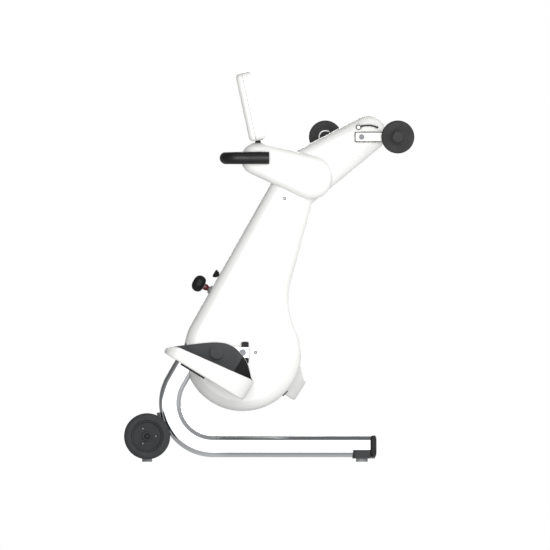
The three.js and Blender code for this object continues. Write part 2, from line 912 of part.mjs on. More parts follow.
// Liner inside the shell
const linerOut = shellWall + restGap;
const linerIn = linerOut + linerThickness;
const linerFloor = shellFloor + restGap;
const linerRoom = rod(
  new THREE.Vector2(shellPinAlong, shellPinRise),
  shellBossRadius + runGap,
  shellInner,
  pedalPinEnd + runGap,
);
const linerCap = rod(
  new THREE.Vector2(shellPinAlong, shellPinRise),
  shellBossRadius + runGap + linerThickness,
  shellInner + linerOut,
  pedalPinEnd + runGap + linerThickness,
);
const footLiner = shellPlan(linerOut, linerFloor, shellTop)
  .intersect(shellSide)
  .subtract(lowRoof)
  .subtract(shellPlan(linerIn, linerFloor + linerThickness, shellTop + cutOverrun))
  .add(linerCap)
  .subtract(linerRoom);
const soleplate = block(
  soleplateStart,
  soleplateEnd,
  shellInner + soleplateSideMargin,
  shellInner + shellWidth - soleplateSideMargin,
  -restGap - soleplateThickness,
  -restGap,
);
sides.forEach(([name, side]) => {
  const pin = legPins[name];
  const place = (made) => forSide(
    made
      .translate([-shellPinAlong, 0, -shellPinRise])
      .rotate([0, shellTiltDegrees, 0])
      .translate([pin.x, 0, pin.y]),
    side,
  );
  piece(`foot_shell_${name}`, place(footShell), whiteAbs);
  piece(`foot_liner_${name}`, place(footLiner), greyRubber);
  piece(`soleplate_${name}`, place(soleplate), blackPlastic);
});

// Arm crank train, turned about the arm axle
const armPins = {
  left: new THREE.Vector2(armAxle.x + armCrankRadius, armAxle.y),
  right: new THREE.Vector2(armAxle.x - armCrankRadius, armAxle.y),
};
function armBar(inset, yLow, yHigh) {
  const squareEnd = roundedRectangle(
    armCrankRadius + armCrankTail - inset,
    armCrankHeight - 2 * inset,
    armCrankCorner,
  ).map((point) => point.add(new THREE.Vector2(
    armAxle.x + (armCrankRadius - armCrankTail + inset) / 2,
    armAxle.y,
  )));
  return prism(squareEnd, yLow, yHigh)
    .add(rod(armPins.left, armCrankHeight / 2 - inset, yLow, yHigh));
}
const leverEye = new THREE.Vector2(armAxle.x - leverEarBack, armAxle.y + leverEarRise);
const armBarOuter = armCrankOuter - armCoverThickness - restGap;
const armAxleHole = rod(armAxle, armAxleRadius + restGap, 0, 2 * armCrankOuter);
const gripPinHole = rod(
  armPins.left,
  gripPinRadius + restGap,
  0,
  2 * armCrankOuter,
  smallSides,
);
const armCover = armBar(armCoverInset, armCrankOuter - armCoverThickness, armCrankOuter)
  .subtract(armAxleHole)
  .subtract(gripPinHole);
const armCrank = armBar(0, armCrankInner, armBarOuter)
  .add(prism(
    taper(
      leverEye,
      leverEarRadius,
      new THREE.Vector2(leverEye.x, armAxle.y),
      leverEarRadius,
    ),
    armCrankInner,
    armCrankOuter - leverThickness - runGap,
  ))
  .subtract(armAxleHole);
const leverTip = new THREE.Vector2(leverEye.x + leverLength, leverEye.y);
const leverBow = new THREE.Vector2(leverEye.x + leverLength / 2, leverEye.y - leverBowDrop);
const bowRadius = Math.hypot(leverLength / 2, leverBowDrop);
const bowHalf = Math.atan2(leverLength / 2, leverBowDrop);
const leverLine = [
  ...arc(
    leverBow,
    bowRadius - leverBlade / 2,
    Math.PI / 2 + bowHalf,
    Math.PI / 2 - bowHalf,
  ),
  ...arc(
    leverBow,
    bowRadius + leverBlade / 2,
    Math.PI / 2 - bowHalf,
    Math.PI / 2 + bowHalf,
  ),
];
const leverInner = armCrankOuter - leverThickness;
const lever = prism(leverLine, leverInner, armCrankOuter)
  .add(rod(leverEye, leverEarRadius, leverInner, armCrankOuter, smallSides))
  .add(rod(leverTip, leverBlade / 2 + leverGrip, leverInner, armCrankOuter, smallSides))
  .subtract(rod(
    leverEye,
    leverPinRadius + runGap,
    armCrankInner,
    armCrankOuter + cutOverrun,
    smallSides,
  ));
const leverPin = turned(leverEye, [
  [0, armCrankInner],
  [leverPinRadius, armCrankInner],
  [leverPinRadius, armCrankOuter + runGap],
  [leverPinRadius + leverPinHead, armCrankOuter + runGap],
  [leverPinRadius + leverPinHead, armCrankOuter + runGap + leverPinHead],
  [0, armCrankOuter + runGap + leverPinHead],
], smallSides);
const gripPin = turned(armPins.left, [
  [0, armCrankInner],
  [gripPinRadius, armCrankInner],
  [gripPinRadius, armCrankOuter + runGap],
  [gripPinRadius * pinCollarShare, armCrankOuter + runGap],
  [gripPinRadius * pinCollarShare, gripDiscInner - runGap],
  [gripPinRadius, gripDiscInner - runGap],
  [gripPinRadius, gripDiscInner + gripDiscThickness + gripPinInGrip],
  [0, gripDiscInner + gripDiscThickness + gripPinInGrip],
], smallSides);
const discOuter = gripDiscInner + gripDiscThickness;
const gripEnd = discOuter + gripLength;
const handGrip = turned(armPins.left, [
  [gripPinRadius + runGap, gripDiscInner],
  [gripDiscRadius - gripDiscRounding, gripDiscInner],
  [gripDiscRadius, gripDiscInner + gripDiscRounding],
  [gripDiscRadius, discOuter - gripDiscRounding],
  [gripDiscRadius - gripDiscRounding, discOuter],
  [gripRadius + gripDiscRounding, discOuter],
  [gripRadius, discOuter + gripDiscRounding],
  [gripRadius * gripWaistShare, discOuter + gripLength * gripWaistPlaceShares[0]],
  [gripRadius, discOuter + gripLength * gripWaistPlaceShares[1]],
  [gripRadius * gripWaistShare, discOuter + gripLength * gripWaistPlaceShares[2]],
  [gripRadius, gripEnd - gripDiscRounding],
  [gripRadius - gripDiscRounding, gripEnd],
  [0, gripEnd],
  [0, discOuter + gripPinInGrip + runGap],
  [gripPinRadius + runGap, discOuter + gripPinInGrip + runGap],
  [gripPinRadius + runGap, gripDiscInner],
]);
piece('arm_axle', rod(armAxle, armAxleRadius, -armCrankOuter, armCrankOuter), steel);
sides.forEach(([name, side]) => {
  const phase = side > 0 ? 180 : 0;
  const place = (made) => forSide(swung(made, armAxle, phase), side);
  piece(`arm_crank_${name}`, place(armCrank.add(leverPin).add(gripPin)), blackPlastic);
  piece(`arm_cover_${name}`, place(armCover), whiteAbs);
  piece(`arm_lever_${name}`, place(lever), blackPlastic);
  piece(`hand_grip_${name}`, place(handGrip), blackRubber);
});

// Lock knob and small knob on the left edge, the neck line running up from the lobe
const edgeStart = around(legAxle, lobeRadius, lobeToKnee);
const edgeHeading = lobeToKnee - Math.PI / 2;
const edgeDegrees = THREE.MathUtils.radToDeg(lobeToKnee);

// A solid drawn about the origin along +Z, set on the left edge and pointing away from it
function onEdge(made, alongEdge) {
  const foot = around(edgeStart, alongEdge, edgeHeading);
  return made.rotate([0, 90 - edgeDegrees, 0]).translate([foot.x, 0, foot.y]);
}

// A turned solid about Z from radius and height pairs that start and end on the axis
function spun(profile, sidesAround = roundSides) {
  const geometry = new THREE.LatheGeometry(
    profile.map(([radius, z]) => new THREE.Vector2(radius, z)),
    sidesAround,
  );
  geometry.rotateX(Math.PI / 2);
  return solid(geometry);
}
const knobStand = bossHeight + lockTravel + lockStemLength;
const lockStem = spun([
  [0, -stemBite],
  [lockStemRadius, -stemBite],
  [lockStemRadius, bossHeight + lockTravel / 2],
  [lockNeckRadius, bossHeight + lockTravel],
  [lockNeckRadius, knobStand],
  [0, knobStand],
], smallSides);
const lockCap = spun([
  [0, knobStand + restGap],
  ...lockCapShares.map(([across, up]) => [
    across * lockCapRadius,
    knobStand + restGap + up * lockCapThickness,
  ]),
]);
const lockCollar = spun([
  [lockStemRadius + runGap, -bossHeight],
  [bossRadius, -bossHeight],
  [bossRadius, bossHeight],
  [lockStemRadius + runGap, bossHeight],
  [lockStemRadius + runGap, -bossHeight],
]);
const smallKnob = spun([
  [0, -stemBite],
  [lockStemRadius * smallStemShare, -stemBite],
  [lockStemRadius * smallStemShare, clampKnobStem],
  [clampKnobWaist, clampKnobStem],
  [clampKnobRadius, clampKnobStem + clampKnobThickness * clampBrowShare],
  [clampKnobWaist, clampKnobStem + clampKnobThickness],
  [0, clampKnobStem + clampKnobThickness],
]);
function stemHole(stemRadius) {
  return spun([
    [0, -stemBite - cutOverrun],
    [stemRadius + runGap, -stemBite - cutOverrun],
    [stemRadius + runGap, cutOverrun],
    [0, cutOverrun],
  ], smallSides);
}
const lockHole = stemHole(lockStemRadius);
const smallHole = stemHole(lockStemRadius * smallStemShare);
const collarSeat = spun([
  [0, -bossHeight - restGap],
  [bossRadius + restGap, -bossHeight - restGap],
  [bossRadius + restGap, bossHeight],
  [0, bossHeight],
]);
piece('lock_stem', onEdge(lockStem, lockAlong), redPlastic);
piece('lock_knob', onEdge(lockCap, lockAlong), blackPlastic);
piece('lock_collar', onEdge(lockCollar, lockAlong), greyPlastic);
piece('height_knob', onEdge(smallKnob, clampKnobAlong), blackPlastic);

// Power inlet low on the right edge of the lobe
const inletDegrees = 90 - inletAngleDegrees;
function atInlet(made) {
  const place = around(legAxle, lobeRadius, radians(inletAngleDegrees));
  return made.rotate([0, inletDegrees, 0]).translate([place.x, 0, place.y]);
}
const inletRecess = inletDepth / 2;
const inlet = block(
  -inletHeight / 2,
  inletHeight / 2,
  -inletWidth / 2,
  inletWidth / 2,
  -inletDepth,
  inletStandOut,
).subtract(block(
  inletWall - inletHeight / 2,
  inletHeight / 2 - inletWall,
  inletWall - inletWidth / 2,
  inletWidth / 2 - inletWall,
  -inletRecess,
  inletStandOut + cutOverrun,
));
const inletHole = block(
  -inletHeight / 2 - restGap,
  inletHeight / 2 + restGap,
  -inletWidth / 2 - restGap,
  inletWidth / 2 + restGap,
  -inletDepth - restGap,
  inletStandOut + cutOverrun,
);
piece('power_inlet', atInlet(inlet), blackPlastic);

// Body housing halves
const boreEnd = bodyHalfWidth + cutOverrun;
const legBore = rod(legAxle, legAxleRadius + coverGap, -boreEnd, boreEnd);
const armBore = rod(armAxle, armAxleRadius + coverGap, -boreEnd, boreEnd);
const housing = pillow(bodyLine, bodyHalfWidth, bodyRounding, 0, bevelSteps)
  .subtract(pillow(
    bodyLine,
    bodyHalfWidth - coverWall,
    bodyRounding - coverWall,
    coverWall,
    bevelSteps,
  ))
  .subtract(legBore)
  .subtract(armBore)
  .subtract(railSlot)
  .subtract(railSlot.mirror([0, 1, 0]))
  .subtract(onEdge(collarSeat, lockAlong))
  .subtract(onEdge(lockHole, lockAlong))
  .subtract(onEdge(smallHole, clampKnobAlong))
  .subtract(atInlet(inletHole));
const farAway = lobeRadius + tip.x + tip.y;
sides.forEach(([name, side]) => {
  const half = housing.intersect(forSide(
    block(-farAway, farAway, seamGap / 2, farAway, -farAway, farAway),
    side,
  ));
  piece(`housing_${name}`, half, whiteAbs);
});

// Inner frame: plate, axle tubes, rail spigots and the bridges that carry the housing
const pillarPlaces = [
  new THREE.Vector2(knee.x - upperPillarBack, knee.y - upperPillarDrop),
  new THREE.Vector2(lowerPillarReach, legAxleHeight),
];
const spigot = slab(
  roundedRectangle(
    boreHeight - 2 * spigotGap,
    boreWidth - 2 * spigotGap,
    boreCorner - spigotGap,
  ),
  -spigotLength,
  restGap + cutOverrun,
);
const yoke = block(
  -boreHeight / 2,
  boreHeight / 2,
  -railInset - railWidth / 2,
  railInset + railWidth / 2,
  restGap,
  yokeLength,
);
const legMotorPlace = new THREE.Vector2(legMotorReach, legAxleHeight + legMotorRise);
const armMotorPlace = new THREE.Vector2(armAxle.x - armMotorBack, armAxle.y - armMotorDrop);
const supplyMiddle = legAxleHeight - supplyDropShare * lobeRadius;
const supplyDepth = 2 * (bodyHalfWidth - supplySideGap);
const frameGap = coverWall + restGap;
const housingRoom = pillow(
  bodyLine,
  bodyHalfWidth - frameGap,
  bodyRounding - frameGap,
  frameGap,
  bevelSteps,
);
let frame = pillow(bodyLine, plateHalfThickness, plateChamfer, plateInset, 1)
  .add(rod(legAxle, legTubeRadius, -motorFace, motorFace))
  .add(rod(armAxle, armTubeRadius, -motorFace, motorFace))
  .add(onRailTop(yoke).intersect(housingRoom));
sides.forEach(([, side]) => {
  frame = frame.add(onRailTop(spigot.translate([0, side * railInset, 0])));
});
pillarPlaces.forEach((place) => {
  frame = frame.add(rod(
    place,
    pillarRadius + bossWall,
    pillarShort + restGap - bodyHalfWidth,
    motorFace,
    smallSides,
  ));
});
const board = new THREE.Vector2(
  boardReachShare * kneeReach,
  legMotorPlace.y + legMotorRadius + boardGap + boardLength / 2,
);
const boardInner = plateHalfThickness + boardStandoff;
[-1, 1].forEach((end) => {
  frame = frame.add(rod(
    new THREE.Vector2(board.x, board.y + end * boardLength * boardPostShare),
    bossWall,
    0,
    boardInner - restGap,
    smallSides,
  ));
});
function cutAlong(made, centre, radius) {
  return made.subtract(rod(centre, radius, -bodyHalfWidth, bodyHalfWidth));
}
frame = cutAlong(frame, legAxle, legAxleRadius + runGap);
frame = cutAlong(frame, armAxle, armAxleRadius + runGap);
frame = cutAlong(frame, legMotorPlace, legMotorRadius + restGap);
frame = cutAlong(frame, armMotorPlace, armMotorRadius + restGap);
frame = frame
  .subtract(block(
    -supplyLength / 2 - restGap,
    supplyLength / 2 + restGap,
    -bodyHalfWidth,
    bodyHalfWidth,
    legAxleHeight - lobeRadius,
    supplyMiddle + supplyHeight / 2 + restGap,
  ))
  .subtract(onEdge(lockHole, lockAlong))
  .subtract(onEdge(smallHole, clampKnobAlong))
  .subtract(atInlet(inletHole));
piece('inner_frame', frame, steel);

// Pulleys, motors and belts
const legMotorLength = motorFace + bodyHalfWidth - legMotorEndGap;
const armMotorLength = motorFace + bodyHalfWidth - armMotorEndGap;
function pulley(centre, radius, bore) {
  return rod(centre, radius, pulleyLow, pulleyLow + pulleyWidth)
    .subtract(rod(centre, bore, pulleyLow - cutOverrun, pulleyLow + pulleyWidth + cutOverrun));
}
function motor(centre, radius, length) {
  return rod(centre, radius, motorFace - length, motorFace).subtract(rod(
    centre,
    motorShaftRadius + runGap,
    motorFace - length / 2,
    motorFace + cutOverrun,
  ));
}
function motorPulley(centre, length) {
  const shaftEnd = motorFace - length / 2 + runGap;
  return rod(centre, motorPulleyRadius, pulleyLow, pulleyLow + pulleyWidth)
    .add(rod(centre, motorShaftRadius, shaftEnd, pulleyPlane, smallSides));
}
function belt(first, firstRadius, second, secondRadius) {
  const low = pulleyPlane - beltWidth / 2;
  const high = pulleyPlane + beltWidth / 2;
  return prism(
    taper(first, firstRadius + runGap + beltThickness, second, secondRadius + runGap + beltThickness),
    low,
    high,
  ).subtract(prism(
    taper(first, firstRadius + runGap, second, secondRadius + runGap),
    low - cutOverrun,
    high + cutOverrun,
  ));
}
piece('leg_pulley', pulley(legAxle, legPulleyRadius, legAxleRadius + restGap), castAluminium);
piece('leg_motor', motor(legMotorPlace, legMotorRadius, legMotorLength), castAluminium);
piece('leg_motor_pulley', motorPulley(legMotorPlace, legMotorLength), steel);
piece(
  'leg_belt',
  belt(legAxle, legPulleyRadius, legMotorPlace, motorPulleyRadius),
  blackRubber,
);
piece('arm_pulley', pulley(armAxle, armPulleyRadius, armAxleRadius + restGap), castAluminium);
piece('arm_motor', motor(armMotorPlace, armMotorRadius, armMotorLength), castAluminium);
piece('arm_motor_pulley', motorPulley(armMotorPlace, armMotorLength), steel);
piece(
  'arm_belt',
  belt(armAxle, armPulleyRadius, armMotorPlace, motorPulleyRadius),
  blackRubber,
);
piece('power_supply', block(
  -supplyLength / 2,
  supplyLength / 2,
  -supplyDepth / 2,
  supplyDepth / 2,
  supplyMiddle - supplyHeight / 2,
  supplyMiddle + supplyHeight / 2,
), castAluminium);
piece('control_board', block(
  board.x - boardDepth / 2,
  board.x + boardDepth / 2,
  boardInner,
  boardInner + boardThickness,
  board.y - boardLength / 2,
  board.y + boardLength / 2,
), greenBoard);

// Head housing over the knee, open inside, with room for the body
const headLine = taper(nose, noseRadius, headHub, headHubRadius);
const headRoom = pillow(
  headLine,
  headHalfWidth - headWall,
  headRounding - headWall,
  headWall,
  bevelSteps,
);
const neckPlace = new THREE.Vector2(displayHinge.x, displayHinge.y);
const neckRoot = new THREE.Vector2(displayHinge.x, nose.y);
const barRoot = new THREE.Vector2(nose.x, nose.y + handlebarRise);
const stubBore = rod(
  barRoot,
  handlebarStubRadius + restGap,
  -headHalfWidth - cutOverrun,
  headHalfWidth + cutOverrun,
  smallSides,
);
const cheekEnd = hingeTongueHalfWidth + runGap + cheekThickness;
const slotEnd = cheekEnd + coverGap;
const headHousing = pillow(headLine, headHalfWidth, headRounding, 0, bevelSteps)
  .subtract(headRoom)
  .subtract(pillow(bodyLine, bodyHalfWidth + restGap, bodyRounding, -restGap, bevelSteps))
  .subtract(stubBore)
  .subtract(rod(displayHinge, hingeBarrelRadius + swingGap, -slotEnd, slotEnd))
  .subtract(prism(
    taper(neckPlace, hingeBarrelRadius + restGap, neckRoot, hingeBarrelRadius + restGap),
    -hingeTongueHalfWidth - restGap,
    hingeTongueHalfWidth + restGap,
  ));
piece('head_housing', headHousing, whiteAbs);

// Display neck: a tongue that rises from inside the head to the hinge barrel
const neckFootEnd = headHalfWidth - headWall - neckFootSideGap;
const displayNeck = prism(
  taper(neckPlace, hingeBarrelRadius, neckRoot, hingeBarrelRadius),
  -hingeTongueHalfWidth,
  hingeTongueHalfWidth,
)
  .add(rod(neckRoot, neckFootRadius, -neckFootEnd, neckFootEnd))
  .add(rod(displayHinge, hingePinRadius, -cheekEnd, cheekEnd, smallSides));
piece('display_neck', displayNeck, blackPlastic);
// A solid drawn upright over the hinge, then leaned back with the display
function onDisplay(made) {
  return made
    .rotate([0, -displayTiltDegrees, 0])
    .translate([displayHinge.x, 0, displayHinge.y]);
}
const displayBase = hingeBarrelRadius + displayLift;
function displaySlab(inset, xLow, xHigh) {
  const points = roundedRectangle(
    displayWidth - 2 * inset,
    displayHeight - 2 * inset,
    displayCorner - inset,
  );
  const geometry = new THREE.ExtrudeGeometry(shapeOf(points), {
    depth: xHigh - xLow,
    bevelEnabled: false,
  });
  geometry.rotateX(Math.PI / 2);
  geometry.rotateZ(Math.PI / 2);
  geometry.translate(xLow, 0, displayBase + displayHeight / 2);
  return solid(geometry);
}
function roundedDisplaySlab(low, high, lowRounding) {
  const points = roundedRectangle(displayWidth, displayHeight, displayCorner);
  const geometry = new THREE.ExtrudeGeometry(shapeOf(points), {
    depth: high - low - 2 * lowRounding,
    bevelEnabled: true,
    bevelThickness: lowRounding,
    bevelSize: lowRounding,
    bevelOffset: -lowRounding,
    bevelSegments: bevelSteps,
  });
  geometry.rotateX(Math.PI / 2);
  geometry.rotateZ(Math.PI / 2);
  geometry.translate(low + lowRounding, 0, displayBase + displayHeight / 2);
  return solid(geometry);
}
const frontPlane = displayHalfThickness;
const backPlane = -displayHalfThickness;
const partPlane = displayPartOffset;
const cheek = prism(
  taper(
    new THREE.Vector2(0, 0),
    hingeBarrelRadius,
    new THREE.Vector2(0, displayBase + displayCorner),
    hingeBarrelRadius,
  ),
  hingeTongueHalfWidth + runGap,
  cheekEnd,
).subtract(rod(
  new THREE.Vector2(0, 0),
  hingePinRadius + runGap,
  0,
  cheekEnd + cutOverrun,
  smallSides,
));
const backOuter = roundedDisplaySlab(backPlane, frontPlane, displayBackRounding)
  .intersect(displaySlab(0, backPlane - cutOverrun, partPlane - restGap / 2));
const displayBack = backOuter
  .subtract(displaySlab(displayWall, backPlane + displayWall, frontPlane))
  .add(cheek.subtract(displaySlab(
    displayWall,
    backPlane + displayWall,
    frontPlane,
  )).subtract(displaySlab(0, partPlane - restGap / 2, frontPlane)))
  .add(cheek.mirror([0, 1, 0]).subtract(displaySlab(
    displayWall,
    backPlane + displayWall,
    frontPlane,
  )).subtract(displaySlab(0, partPlane - restGap / 2, frontPlane)));
const glassBack = frontPlane - glassThickness;
const displayFront = roundedDisplaySlab(backPlane, frontPlane, displayFrontRounding)
  .intersect(displaySlab(0, partPlane + restGap / 2, frontPlane))
  .subtract(displaySlab(displayWall, partPlane - cutOverrun, glassBack - displayWall))
  .subtract(displaySlab(
    glassMargin - restGap,
    glassBack - restGap,
    frontPlane + cutOverrun,
  ))
  .subtract(cheek)
  .subtract(cheek.mirror([0, 1, 0]));
const displayGlass = displaySlab(glassMargin, glassBack, frontPlane);
piece('display_back', onDisplay(displayBack), whiteAbs);
piece('display_front', onDisplay(displayFront), whiteAbs);
piece('display_glass', onDisplay(displayGlass), glass);

// Handlebar: one bent bar round the nose and its foam sleeve
const barSide = headHalfWidth + handlebarSideGap + handlebarRadius + handlebarFoam;
const barFront = nose.x - handlebarFront;
const barTail = nose.x + handlebarTail;

function barStations(overrun) {
  const corner = new THREE.Vector2(barFront + handlebarBend, barSide - handlebarBend);
  const station = (x, y, angle) => ({
    at: new THREE.Vector3(x, y, barRoot.y),
    side: new THREE.Vector3(-Math.sin(angle), Math.cos(angle), 0),
    up: new THREE.Vector3(0, 0, 1),
  });
  const half = [station(barTail + overrun, barSide, Math.PI)];
  for (let i = 0; i <= barBendSteps; i += 1) {
    const turn = ((Math.PI / 2) * i) / barBendSteps;
    half.push(station(
      corner.x - handlebarBend * Math.sin(turn),
      corner.y + handlebarBend * Math.cos(turn),
      Math.PI + turn,
    ));
  }
  const other = half.slice().reverse().map(({ at, side, up }) => ({
    at: new THREE.Vector3(at.x, -at.y, at.z),
    side: new THREE.Vector3(side.x, -side.y, 0),
    up,
  }));
  return [...half, ...other];
}
function circleLine(radius, sidesAround) {
  return new THREE.EllipseCurve(0, 0, radius, radius).getPoints(sidesAround).slice(0, -1);
}
let bar = sweep(barStations(0), circleLine(handlebarRadius, barSides));
let foam = sweep(barStations(0), circleLine(handlebarRadius + handlebarFoam, barSides))
  .subtract(sweep(barStations(cutOverrun), circleLine(handlebarRadius + restGap, barSides)));
const stubLow = headHalfWidth - handlebarStubBite;
const stubHigh = barSide;
sides.forEach(([, side]) => {
  bar = bar.add(forSide(
    rod(barRoot, handlebarStubRadius, stubLow, stubHigh, smallSides),
    side,
  ));
  foam = foam.subtract(forSide(
    rod(barRoot, handlebarStubRadius + restGap, headHalfWidth, barSide, smallSides),
    side,
  ));
});
piece('handlebar_tube', bar, steel);
piece('handlebar_foam', foam, blackRubber);
export default trainer;
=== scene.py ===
import math

import bmesh
import bpy
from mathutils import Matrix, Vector


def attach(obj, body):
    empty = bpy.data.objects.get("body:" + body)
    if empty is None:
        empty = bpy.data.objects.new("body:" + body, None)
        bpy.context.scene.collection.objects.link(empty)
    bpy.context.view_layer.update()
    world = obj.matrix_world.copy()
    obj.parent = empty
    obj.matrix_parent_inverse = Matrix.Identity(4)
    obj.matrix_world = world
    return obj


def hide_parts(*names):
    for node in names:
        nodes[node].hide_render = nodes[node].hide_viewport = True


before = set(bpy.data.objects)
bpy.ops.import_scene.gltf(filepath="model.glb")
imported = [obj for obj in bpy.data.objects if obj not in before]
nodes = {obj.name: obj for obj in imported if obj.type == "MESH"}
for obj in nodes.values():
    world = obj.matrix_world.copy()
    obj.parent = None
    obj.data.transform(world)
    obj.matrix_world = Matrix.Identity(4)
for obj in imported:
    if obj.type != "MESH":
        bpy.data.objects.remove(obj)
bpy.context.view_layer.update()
scene = bpy.context.scene
millimetre = 0.001
legAxle = (-77.0, 317.0)  # X and Z of the two crank axles
armAxle = (268.0, 942.0)
bothSides = (("left", -1), ("right", 1))


# The photo is a flat side view, so the camera is orthographic and level
cameraView = {"middleX": 16.8, "middleZ": 541.7, "span": 1595.0, "distance": 4000.0}
cameraData = bpy.data.cameras.new("sideCamera")
cameraData.type = "ORTHO"
cameraData.ortho_scale = cameraView["span"] * millimetre
cameraData.clip_end = 20.0
camera = bpy.data.objects.new("sideCamera", cameraData)
cameraPlace = Vector((cameraView["middleX"], -cameraView["distance"], cameraView["middleZ"]))
camera.location = cameraPlace * millimetre
camera.rotation_euler = (math.radians(90), 0, 0)
scene.collection.objects.link(camera)
scene.camera = camera
print("camera set")


def toLinear(hexColour):
    channels = [int(hexColour[i:i + 2], 16) / 255 for i in (1, 3, 5)]
    curve = [c / 12.92 if c <= 0.04045 else ((c + 0.055) / 1.055) ** 2.4 for c in channels]
    return (*curve, 1.0)


# A setting goes to the input of that name, or else to the node itself
def addNode(tree, kind, links=None, **settings):
    node = tree.nodes.new(kind)
    for key, value in settings.items():
        if hasattr(node, key) and key not in node.inputs:
            setattr(node, key, value)
        else:
            node.inputs[key].default_value = value
    for key, source in (links or {}).items():
        tree.links.new(source, node.inputs[key])
    return node


# Patches let the roughness vary three times as much as the colour; noise mostly lies between 0.3 and 0.7
def surfaceFinish(name, colour, roughness, metallic=0.0, coat=0.0, grainMm=1.2, grainDepthMm=0.02,
                  mottle=0.04, patchMm=40.0, stretch=(1.0, 1.0, 1.0), specular=0.5):
    material = bpy.data.materials.new(name)
    material.use_nodes = True
    tree = material.node_tree
    shader = tree.nodes["Principled BSDF"]
    place = addNode(tree, "ShaderNodeTexCoord")
    stretched = addNode(tree, "ShaderNodeMapping", {"Vector": place.outputs["Object"]}, Scale=stretch)
    grain = addNode(tree, "ShaderNodeTexNoise", {"Vector": stretched.outputs["Vector"]},
                    Scale=1000.0 / grainMm, Detail=3.0, Roughness=0.55)
    patch = addNode(tree, "ShaderNodeTexNoise", {"Vector": stretched.outputs["Vector"]},
                    Scale=1000.0 / patchMm, Detail=4.0, Roughness=0.6)
    level = addNode(tree, "ShaderNodeMapRange", {"Value": patch.outputs["Fac"]})
    level.inputs["From Min"].default_value = 0.3
    level.inputs["From Max"].default_value = 0.7
    level.inputs["To Min"].default_value = max(0.02, roughness * (1 - mottle * 3))
    level.inputs["To Max"].default_value = min(1.0, roughness * (1 + mottle * 3))
    tint = addNode(tree, "ShaderNodeMixRGB", {"Fac": patch.outputs["Fac"]})
    base = toLinear(colour)
    tint.inputs["Color1"].default_value = tuple(c * (1 - mottle) for c in base[:3]) + (1.0,)
    tint.inputs["Color2"].default_value = tuple(min(1.0, c * (1 + mottle)) for c in base[:3]) + (1.0,)
    bump = addNode(tree, "ShaderNodeBump", {"Height": grain.outputs["Fac"]}, Strength=1.0)
    bump.inputs["Distance"].default_value = grainDepthMm * millimetre
    tree.links.new(tint.outputs["Color"], shader.inputs["Base Color"])
    tree.links.new(level.outputs["Result"], shader.inputs["Roughness"])
    tree.links.new(bump.outputs["Normal"], shader.inputs["Normal"])
    shader.inputs["Metallic"].default_value = metallic
    shader.inputs["Coat Weight"].default_value = coat
    shader.inputs["Coat Roughness"].default_value = 0.08
    shader.inputs["Specular IOR Level"].default_value = specular
    return material


# Grain is given in mm. Most real grains here are 0.1 to 0.3 mm and wouldn't show, so they are drawn coarser

# ABS, moulded and polished: white with soft, wide highlights
whiteAbs = surfaceFinish("glossyWhiteAbs", "#EDEDEB", 0.34, coat=0.25, grainMm=2.5, grainDepthMm=0.012,
                         mottle=0.01)
# ABS, moulded with a fine spark texture: duller than the body
shellWhite = surfaceFinish("satinWhiteShell", "#E9E9E7", 0.42, grainMm=1.0, grainDepthMm=0.02, mottle=0.012)
# Steel tube, polished and chromed: mirrors its surroundings as bands along the roundings
chromeTube = surfaceFinish("chromedSteelTube", "#E3E5E8", 0.07, metallic=1.0, grainMm=6.0,
                           grainDepthMm=0.006, mottle=0.02, patchMm=90.0)
# Aluminium bar, brushed lengthwise: a soft, streaked mirror
brightAluminium = surfaceFinish("brushedAluminium", "#D5D7DA", 0.3, metallic=1.0, grainMm=0.5,
                                grainDepthMm=0.015, mottle=0.03, stretch=(0.08, 1.0, 1.0))
# Aluminium, cast and bead blasted: grey, grainy, no clear reflection
castAluminium = surfaceFinish("blastedCastAluminium", "#8E9194", 0.55, metallic=1.0, grainMm=0.8,
                              grainDepthMm=0.05)
# Steel, powder coated in black: an even, low sheen
powderCoat = surfaceFinish("blackPowderCoat", "#2A2B2D", 0.5, grainMm=0.9, grainDepthMm=0.04)
# Closed cell foam, moulded with a smooth skin: black with one soft streak, its pores drawn coarse to show
blackFoam = surfaceFinish("closedCellFoam", "#1B1B1C", 0.4, grainMm=0.9, grainDepthMm=0.09, mottle=0.06,
                          patchMm=25.0, specular=0.36)
# Rubber, moulded matt: hardly any highlight
gripRubber = surfaceFinish("mattGripRubber", "#363637", 0.72, grainMm=0.7, grainDepthMm=0.06, mottle=0.05,
                           specular=0.35)
# Rubber tyre, moulded: dull and a little uneven from use
tyreRubber = surfaceFinish("greyTyreRubber", "#37383A", 0.8, grainMm=0.9, grainDepthMm=0.05, mottle=0.06,
                           specular=0.3)
# Thermoplastic rubber pad, moulded: pale grey and dull
footRubber = surfaceFinish("greyFootRubber", "#8A8B8C", 0.75, grainMm=1.0, grainDepthMm=0.05, mottle=0.05)
# Soft rubber liner, moulded with a fine grain: dark grey, no gloss
linerRubber = surfaceFinish("darkGreyLiner", "#48494B", 0.8, grainMm=0.8, grainDepthMm=0.07, mottle=0.07,
                            specular=0.3)
# Soft rubber in black with the same grain, put on the liner's heel end as painted shade: it stands in for
# the shade inside the rounded heel
heelShadeRubber = surfaceFinish("blackHeelPaintedShade", "#1C1C1D", 0.82, grainMm=0.8, grainDepthMm=0.07, specular=0.3)
# Nylon, moulded with a fine texture: black with a faint sheen
blackPlastic = surfaceFinish("texturedBlackPlastic", "#161617", 0.55, grainMm=0.6, grainDepthMm=0.035,
                             specular=0.3)
# Nylon, moulded with a fine texture: dark grey with a faint sheen
greyPlastic = surfaceFinish("texturedGreyPlastic", "#363739", 0.55, grainMm=0.7, grainDepthMm=0.04)
# Nylon hub, moulded dull: dark grey, a touch darker than the tyre round it
hubPlastic = surfaceFinish("dullGreyHubPlastic", "#303133", 0.72, grainMm=0.7, grainDepthMm=0.04,
                           specular=0.3)
# Steel bolt, blackened: a dark, soft mirror
boltSteel = surfaceFinish("blackenedBoltSteel", "#5C5E61", 0.38, metallic=1.0, grainMm=0.9,
                          grainDepthMm=0.02)
